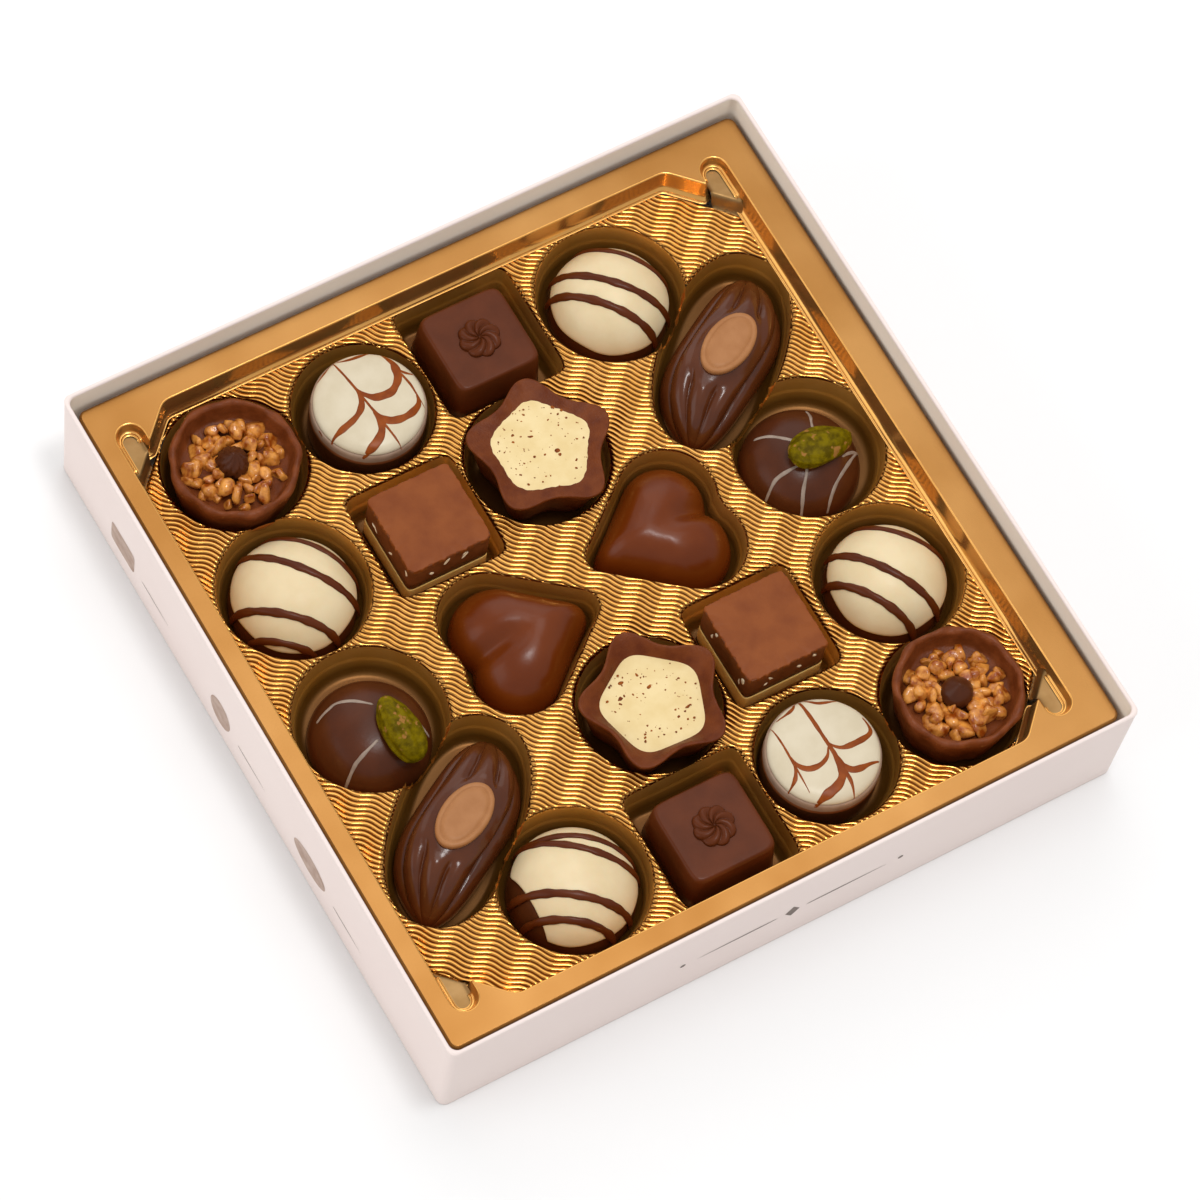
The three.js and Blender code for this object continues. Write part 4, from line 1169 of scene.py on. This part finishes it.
def cast_square(half_foot, half_top, height, easing, power=9):
    rings = []
    for z in (0, 0.15, height * 0.3, height * 0.6, height - easing):
        half = half_foot + (half_top - half_foot) * z / height - (0.15 if z == 0 else 0)
        rings.append(ring(superellipse(half, half, power), z, count=160))
    for turn in np.linspace(0, math.pi / 2, 7)[1:]:
        half = half_top - easing * (1 - math.cos(turn))
        z = height - easing * (1 - math.sin(turn))
        rings.append(ring(superellipse(half, half, power), z, count=160))
    rings += [ring(superellipse(half_top, half_top, power), height, scale=s, count=160)
              for s in (0.8, 0.5, 0.2)]
    return rings_mesh(rings)


def rosette(radius=4.3, height=1.5, lobes=8, base=SQUARE_HEIGHT):
    """Rounded lobes that lean over and run into the middle, with a small dip there."""
    angle = full_turn(192)
    rings = []
    for share in np.linspace(1, 0.06, 18):
        lean = 1.1 * (1 - share)
        lobe = np.abs(np.cos(lobes / 2 * (angle - lean)))
        out = radius * share * (0.9 + 0.12 * lobe)
        crown = height * (1 - share ** 4) ** 0.5 * (0.55 + 0.45 * lobe ** 0.7)
        crown *= 1 - 0.5 * math.exp(-(share / 0.18) ** 2)
        rings.append(polar(out, angle, base - 0.1 + crown))
    return rings_mesh(rings)


for number in (1, 2):
    spot = stand("dark_cube", number - 1, (-0.4, -0.5 * number))
    add_praline_piece(f"dark_square_{number}", spot,
                      [cast_square(SQUARE_FOOT, SQUARE_TOP, SQUARE_HEIGHT, 0.7), rosette()],
                      "square_dark", [f"dark_cube_{number}"], "dark")
print("dark squares: 2")

# %% [markdown]
# ## The nougat squares
# These are cut, not cast: a thin nut layer below, a dark block with nut slivers in its cut sides,
# and a smooth coat on top that runs a little over the edge.

# %% Nougat squares
NOUGAT_HALF, NOUGAT_LAYER, NOUGAT_HEIGHT = 8.9, 4.8, 12.5
COAT_FOOT, COAT_THICK = 11.6, 1.2


def chipped(points, seed, depth=0.28):
    """Breaks a cut edge: the outline steps in and out unevenly, most at the top."""
    random = np.random.default_rng(seed)
    phase = random.uniform(0, 6.3, 4)
    around = points[:, 0] + points[:, 1]
    across = points[:, 0] - points[:, 1]
    rough = (np.sin(1.3 * around + phase[0]) + np.sin(2.9 * across + phase[1])
             + 0.7 * np.sin(5.3 * around + phase[2]) + 0.6 * np.sin(8.1 * across + phase[3])) / 3.3
    outside = smoothstep(np.abs(points[:, :2]).max(axis=1), NOUGAT_HALF - 1.6, NOUGAT_HALF)
    high = smoothstep(points[:, 2], 10.6, 12.4)
    points = points.copy()
    points[:, :2] *= (1 + depth / NOUGAT_HALF * rough * outside * high)[:, None]
    points[:, 2] -= 0.22 * np.clip(rough, 0, 1) * outside * high
    return points


def nougat_slivers(seed, count=4):
    """A few pale slivers that lie in the four cut sides, most of them near the top."""
    random = np.random.default_rng(seed)
    slivers = []
    for k in range(4 * count):
        shape, faces = chunk(random, 1.0)
        shape = shape * (0.45, 0.2, random.uniform(0.8, 1.5))
        tilt = random.uniform(-0.9, 0.9)
        shape = shape @ np.array([[math.cos(tilt), 0, -math.sin(tilt)], [0, 1, 0],
                                  [math.sin(tilt), 0, math.cos(tilt)]])
        at = (random.uniform(-7.4, 7.4), -NOUGAT_HALF + 0.08, random.uniform(6.6, 11.2))
        slivers.append((placed(shape + at, turn=90.0 * (k % 4)), faces))
    return slivers


for number, slid in enumerate([(-0.1, -0.8), (0.1, -0.4)], 1):
    name, spot = f"nougat_{number}", stand("nougat", number - 1, slid)
    layer = cast_square(9.0, 9.0, NOUGAT_LAYER, 0.3, 16)
    block = cast_square(NOUGAT_HALF, NOUGAT_HALF, NOUGAT_HEIGHT - NOUGAT_LAYER, 0.1, 18)
    block = (block[0] + (0, 0, NOUGAT_LAYER + 0.1), block[1])
    top = cast_square(NOUGAT_HALF + 0.05, NOUGAT_HALF, COAT_THICK, 0.25, 18)
    top = (chipped(top[0] + (0, 0, COAT_FOOT), number), top[1])
    add_praline_piece(f"{name}_nut_layer", spot, [layer], "layer", [f"{name}_layer"], "layer")
    add_praline_piece(f"{name}_cut_block", spot, [block], "nougat", [f"{name}_block"], "dark", 60)
    add_praline_piece(f"{name}_slivers", spot, nougat_slivers(number), "sliver", slot="layer")
    add_praline_piece(f"{name}_top_coat", spot, [top], "milk", slot="milk")
print("nougat squares: 2")

# %% [markdown]
# ## The hearts
# A cast heart is a pillow: it rounds over from the foot to the top, with a crease that runs in
# from the notch. The foot keeps the outline, and each ring above it is the same outline, smaller.

# %% Hearts
HEART_LENGTH, HEART_WIDTH, HEART_HEIGHT = 26.2, 27.0, 11.8


def heart_praline():
    outline = heart(HEART_LENGTH, HEART_WIDTH)
    rings = []
    for share in np.linspace(0, 0.995, 30) ** 1.1:
        rise = share * math.pi / 2
        section = ring(outline, HEART_HEIGHT * math.sin(rise) ** (2 / 2.3), count=160,
                       scale=math.cos(rise) ** (2 / 2.3))
        for _ in range(2):
            section[:, :2] = (np.roll(section, 1, 0) + 2 * section + np.roll(section, -1, 0))[:, :2] / 4
        crease = np.exp(-(section[:, 1] / 2.4) ** 2) * smoothstep(section[:, 0], -3, 9)
        section[:, 2] *= 1 - 0.22 * crease
        rings.append(section)
    return rings_mesh(rings)


for number in (1, 2):
    spot = stand("heart", number - 1, (0.2, 0.2) if number == 1 else (0, -0.2), 180 * (number - 1))
    add_praline_piece(f"cast_heart_{number}", spot, [heart_praline()], "heart_milk",
                      [f"heart_{number}"], "milk")
print("hearts: 2")

# %% [markdown]
# ## The pods
# The pod is cast as half a cocoa pod, with rounded ribs that run from tip to tip. A round-edged
# medallion of caramel chocolate lies on a smooth seat in the middle. Its only mark is a plain
# inset line.

# %% Pods
POD_LENGTH, POD_WIDTH, POD_HEIGHT = 20.0, 8.8, 11.6
POD_BOW = 1.3
SEAT_Z, SEAT_HALF, SEAT_TURN = 10.92, (8.6, 5.6), 16
MEDALLION_HALF = (7.5, 4.5)


def pod_body(seat_at, ribs=9, stations=90, count=120):
    """Half-round sections from tip to tip on a bowed middle line, pressed flat for the seat."""
    angle = np.linspace(0, math.pi, count)
    rows = []
    for share in np.sin(np.linspace(-math.pi / 2 * 0.985, math.pi / 2 * 0.985, stations)):
        wide = (1 - abs(share) ** 2.5) ** 0.62
        high = (1 - abs(share) ** 2.3) ** 0.55
        x = np.full(count, share * POD_LENGTH)
        bow = -POD_BOW * math.sin(math.pi * share)
        seat = placed(np.stack([x, bow - np.cos(angle) * POD_WIDTH * wide, x], axis=1)
                      - (*seat_at, 0), turn=SEAT_TURN)
        reach = np.hypot(seat[:, 0] / SEAT_HALF[0], seat[:, 1] / SEAT_HALF[1])
        fold = np.abs(np.cos(ribs / 2 * (angle - math.pi / 2) + 0.5 * share)) ** 0.6
        rib = 1 + 0.19 * (fold - 0.75) * smoothstep(reach, 1.0, 1.25) * (1 - 0.5 * abs(share) ** 6)
        y = bow - np.cos(angle) * POD_WIDTH * wide * rib
        z = np.sin(angle) ** 0.8 * POD_HEIGHT * high * rib
        press = 1 - smoothstep(reach, 0.95, 1.2)
        z = np.minimum(z, z * (1 - press) + press * SEAT_Z)
        rows.append(np.stack([x, y, z], axis=1))
    return rings_mesh(rows)


def medallion(low=SEAT_Z + 0.05, high=12.35):
    oval = superellipse(*MEDALLION_HALF, 2)
    levels = [(0.0, low), (0.08, low + 0.2), (0.08, high - 0.45), (-0.05, high - 0.2),
              (-0.3, high - 0.04), (-0.6, high), (-0.95, high), (-1.05, high - 0.12),
              (-1.2, high - 0.12), (-1.3, high - 0.02), (-2.2, high), (-3.6, high)]
    return rings_mesh([ring(oval, z, grow=grow - 0.08, count=128) for grow, z in levels])


for number, seat_at in ((1, (-0.2, -0.5)), (2, (-0.4, -0.7))):
    name, spot = f"pod_{number}", stand("pod", number - 1, (0.2, -0.3), 43)
    add_praline_piece(f"{name}_ribbed_body", spot, [pod_body(seat_at)], "pod_dark", [f"{name}_body"],
                      "dark")
    points, faces = medallion()
    add_praline_piece(f"{name}_oval_medallion", spot,
                      [(placed(points, (*seat_at, 0), -SEAT_TURN), faces)], "caramel",
                      [f"{name}_medallion"], "caramel")
print("pods: 2")

# %% [markdown]
# ## The star cups
# A star-shaped cup is cast with a thick uneven rim and filled with a pale cream that is strewn
# with fine brown crumbs.

# %% Star cups
STAR_RADIUS, STAR_DEPTH, STAR_TOP, STAR_WALL = 13.0, 1.7, 12.15, 3.1


def star_shell(seed, fill, count=260):
    """The outside leans in to the foot; inside a narrow rim the wall slopes down to the cream."""
    outer, inner = star(STAR_RADIUS, STAR_DEPTH), star(STAR_RADIUS - STAR_WALL, STAR_DEPTH * 0.35)
    angle = full_turn(count)
    wave = (0.1 * np.sin(4 * angle + seed) + 0.06 * np.sin(9 * angle + 2 * seed)
            + 0.05 * np.sin(23 * angle) + 0.03 * np.sin(41 * angle + seed))
    rings = [ring(outer, 0, scale=0.74, grow=-0.3, count=count)]
    rings.append(ring(outer, 0.3, scale=0.745, count=count))
    for z in (2.5, 5, 7, 8.5):
        rings.append(ring(outer, z, scale=0.74 + 0.16 * (z / 8.54) ** 0.9, count=count))
    rings += [ring(outer, 10.2, scale=0.95, count=count), ring(outer, 11.2, scale=0.98, count=count)]
    high, low = ring(outer, 0, scale=0.995, count=count), ring(inner, 0, count=count)
    thick = np.hypot(*(high - low)[:, :2].T)
    for inset, drop in [(0, 0.5), (0.03, 0.2), (0.14, 0.04), (0.35, 0), (0.6, 0.06)]:
        section = high + (low - high) * (inset / thick)[:, None]
        section[:, 2] = STAR_TOP - drop + wave
        rings.append(section)
    slope = STAR_TOP - 0.1 - fill
    for share in (0.25, 0.5, 0.75, 1.0, 1.08):
        section = high + (low - high) * (0.6 / thick + share * (1 - 0.6 / thick))[:, None]
        section[:, 2] = STAR_TOP - 0.06 - slope * share ** 1.2 + wave * (1 - share)
        rings.append(section)
    return rings_mesh(rings)


def cream_fill(fill):
    inner = star(STAR_RADIUS - STAR_WALL, STAR_DEPTH * 0.35)
    rings = [ring(inner, fill - 1.2, grow=-0.35, count=200)]
    dished = [(0.25, 0.12), (0.1, 0.08), (-0.3, 0.02), (-1.2, -0.04), (-3, -0.1), (-6, -0.16)]
    rings += [ring(inner, fill - drop, grow=grow, count=200) for grow, drop in dished]
    return rings_mesh(rings)


def crumbs(seed, fill, dark_ones, count=110):
    """Fine crumbs strewn on the cream, and the few larger ones where they lie."""
    random = np.random.default_rng(seed)
    pieces = []
    while len(pieces) < count:
        plan = random.uniform(-9.6, 9.6, 2)
        if math.hypot(*plan) < 9.2:
            size = 0.09 + 0.2 * random.uniform() ** 2
            shape, faces = chunk(random, size)
            pieces.append((shape * (1, 1, 0.5) + (*plan, fill + 0.1), faces))
    for x, y, size in dark_ones:
        shape, faces = chunk(random, size)
        pieces.append((shape * (1.3, 0.9, 0.4) + (x, y, fill + 0.13), faces))
    return pieces


STAR_CUPS = [  # slid, turn, level of the cream, larger crumbs
    ((0.7, 0.2), 2, 11.55, [(1.9, -2.4, 0.5), (2.1, -3.1, 0.36), (-0.9, 2.9, 0.36)]),
    ((0.2, -0.7), 15, 10.05, [(1.6, 2.9, 0.45), (-4.2, 4.7, 0.45), (4.1, -5.0, 0.4), (-1.8, 7.0, 0.4)]),
]
for number, (slid, turn, fill, dark_ones) in enumerate(STAR_CUPS, 1):
    name, spot = f"star_cup_{number}", stand("star_cup", number - 1, slid, turn)
    add_praline_piece(f"{name}_cast_shell", spot, [star_shell(number, fill)], "cast_milk",
                      [f"{name}_shell"], "milk", 60)
    add_praline_piece(f"{name}_cream_fill", spot, [cream_fill(fill)], "cream", [f"{name}_cream"],
                      "cream")
    add_praline_piece(f"{name}_crumbs", spot, crumbs(number, fill, dark_ones), "crumb",
                      slot="brittle")
print("star cups: 2")

# %% [markdown]
# ## The pistachio domes
# A low dark dome carries one whole green kernel and a few thin lines of paler chocolate. The
# kernel leans on the slope. Its skin is wrinkled lengthwise and still clings in pinkish patches.

# %% Pistachio domes
GREEN_RADIUS, GREEN_HEIGHT, GREEN_POWER = 12.0, 8.8, 2.1
THREAD_WIDTH, THREAD_PROUD = 0.75, 0.12
KERNEL_LIFT = 1.6  # the kernel's middle, over the dome's surface
PISTACHIOS = [
    # slid, kernel's place, kernel's turn, lines in plan round the dome's middle
    ((-1.4, -0.5), (2.5, -1.4), -3, [
        [(-6.7, 7.4), (-5.9, 7.1), (-4.1, 5.9), (-1.4, 3.0), (0.4, 1.5)],
        [(5.9, 8.3), (5.4, 6.3), (4.7, 5.0), (4.0, 3.5)],
        [(-10.6, -4.3), (-8.4, -2.8), (-7.1, -2.4), (-4.6, -2.4), (-1.6, -2.5)],
        [(-5.9, -10.2), (-4.2, -7.1), (-2.2, -4.6), (-1.3, -3.1)],
        [(-0.8, -11.7), (0.6, -10.1), (2.6, -8.4), (5.5, -6.6), (10.4, -3.7)],
        [(6.3, -4.2), (8.7, -3.7), (11.2, -3.5)]]),
    ((-0.5, -1.3), (3.9, -3.8), 94, [
        [(-8.4, 6.2), (-7.0, 6.8), (-5.3, 7.2), (-3.5, 7.4), (-0.9, 6.1), (2.1, 3.4)],
        [(-9.4, -7.2), (-6.7, -5.4), (-5.2, -4.8), (-0.6, -3.4)],
        [(7.9, -1.6), (8.7, -3.4), (9.6, -5.7)]]),
]


def kernel(seed, length=7.0, width=3.8, height=2.9):
    """A whole kernel: an egg shape with long soft wrinkles and a seam."""
    points, faces = ball(5)
    random = np.random.default_rng(seed)
    x, y, z = points.T
    around = np.arctan2(z, y)
    wrinkle = sum(a * np.sin(k * around + random.uniform(0, 6) + 3 * x * random.uniform(-1, 1))
                  for k, a in [(2, 0.03), (3, 0.035), (5, 0.03), (8, 0.026), (13, 0.018)])
    dents = 0.03 * np.sin(5 * x + 3 * y + seed) * np.sin(6 * y - 4 * z)
    blunt = 1 - 0.14 * x
    shape = points * (1 + (wrinkle + dents) * (1 - x ** 2) ** 0.5)[:, None]
    return shape * np.stack([np.full_like(x, length), width * blunt, height * blunt], axis=1), faces


for number, (slid, nut_at, nut_turn, lines) in enumerate(PISTACHIOS, 1):
    name, spot = f"pistachio_{number}", stand("pistachio", number - 1, slid)
    surface = dome_surface(GREEN_RADIUS, GREEN_HEIGHT, GREEN_POWER)
    body = rings_mesh(dome_rings(GREEN_RADIUS, GREEN_HEIGHT, GREEN_POWER))
    add_praline_piece(f"{name}_dome", spot, [body], "dark", [f"{name}_body"], "dark")
    threads = [poured_line(smooth_path(line), surface, THREAD_WIDTH, THREAD_PROUD, taper=0.3,
                           seed=k) for k, line in enumerate(lines)]
    add_praline_piece(f"{name}_threads", spot, threads, "thread", slot="white")
    points, faces = kernel(number)
    share = math.hypot(*nut_at) / GREEN_RADIUS
    under = 1 - share ** GREEN_POWER
    tip = math.atan(GREEN_HEIGHT / GREEN_RADIUS * share ** (GREEN_POWER - 1)
                    * under ** (1 / GREEN_POWER - 1))
    axis = Vector((-nut_at[1], nut_at[0], 0)).normalized()
    lean = np.array(Matrix.Rotation(tip, 3, axis))
    top = GREEN_HEIGHT * under ** (1 / GREEN_POWER)
    points = placed(points, turn=nut_turn) @ lean.T + (*nut_at, top + KERNEL_LIFT)
    add_praline_piece(f"{name}_kernel", spot, [(points, faces)], "kernel", [f"{name}_nut"],
                      "pistachio")
print("pistachio domes:", len(PISTACHIOS))
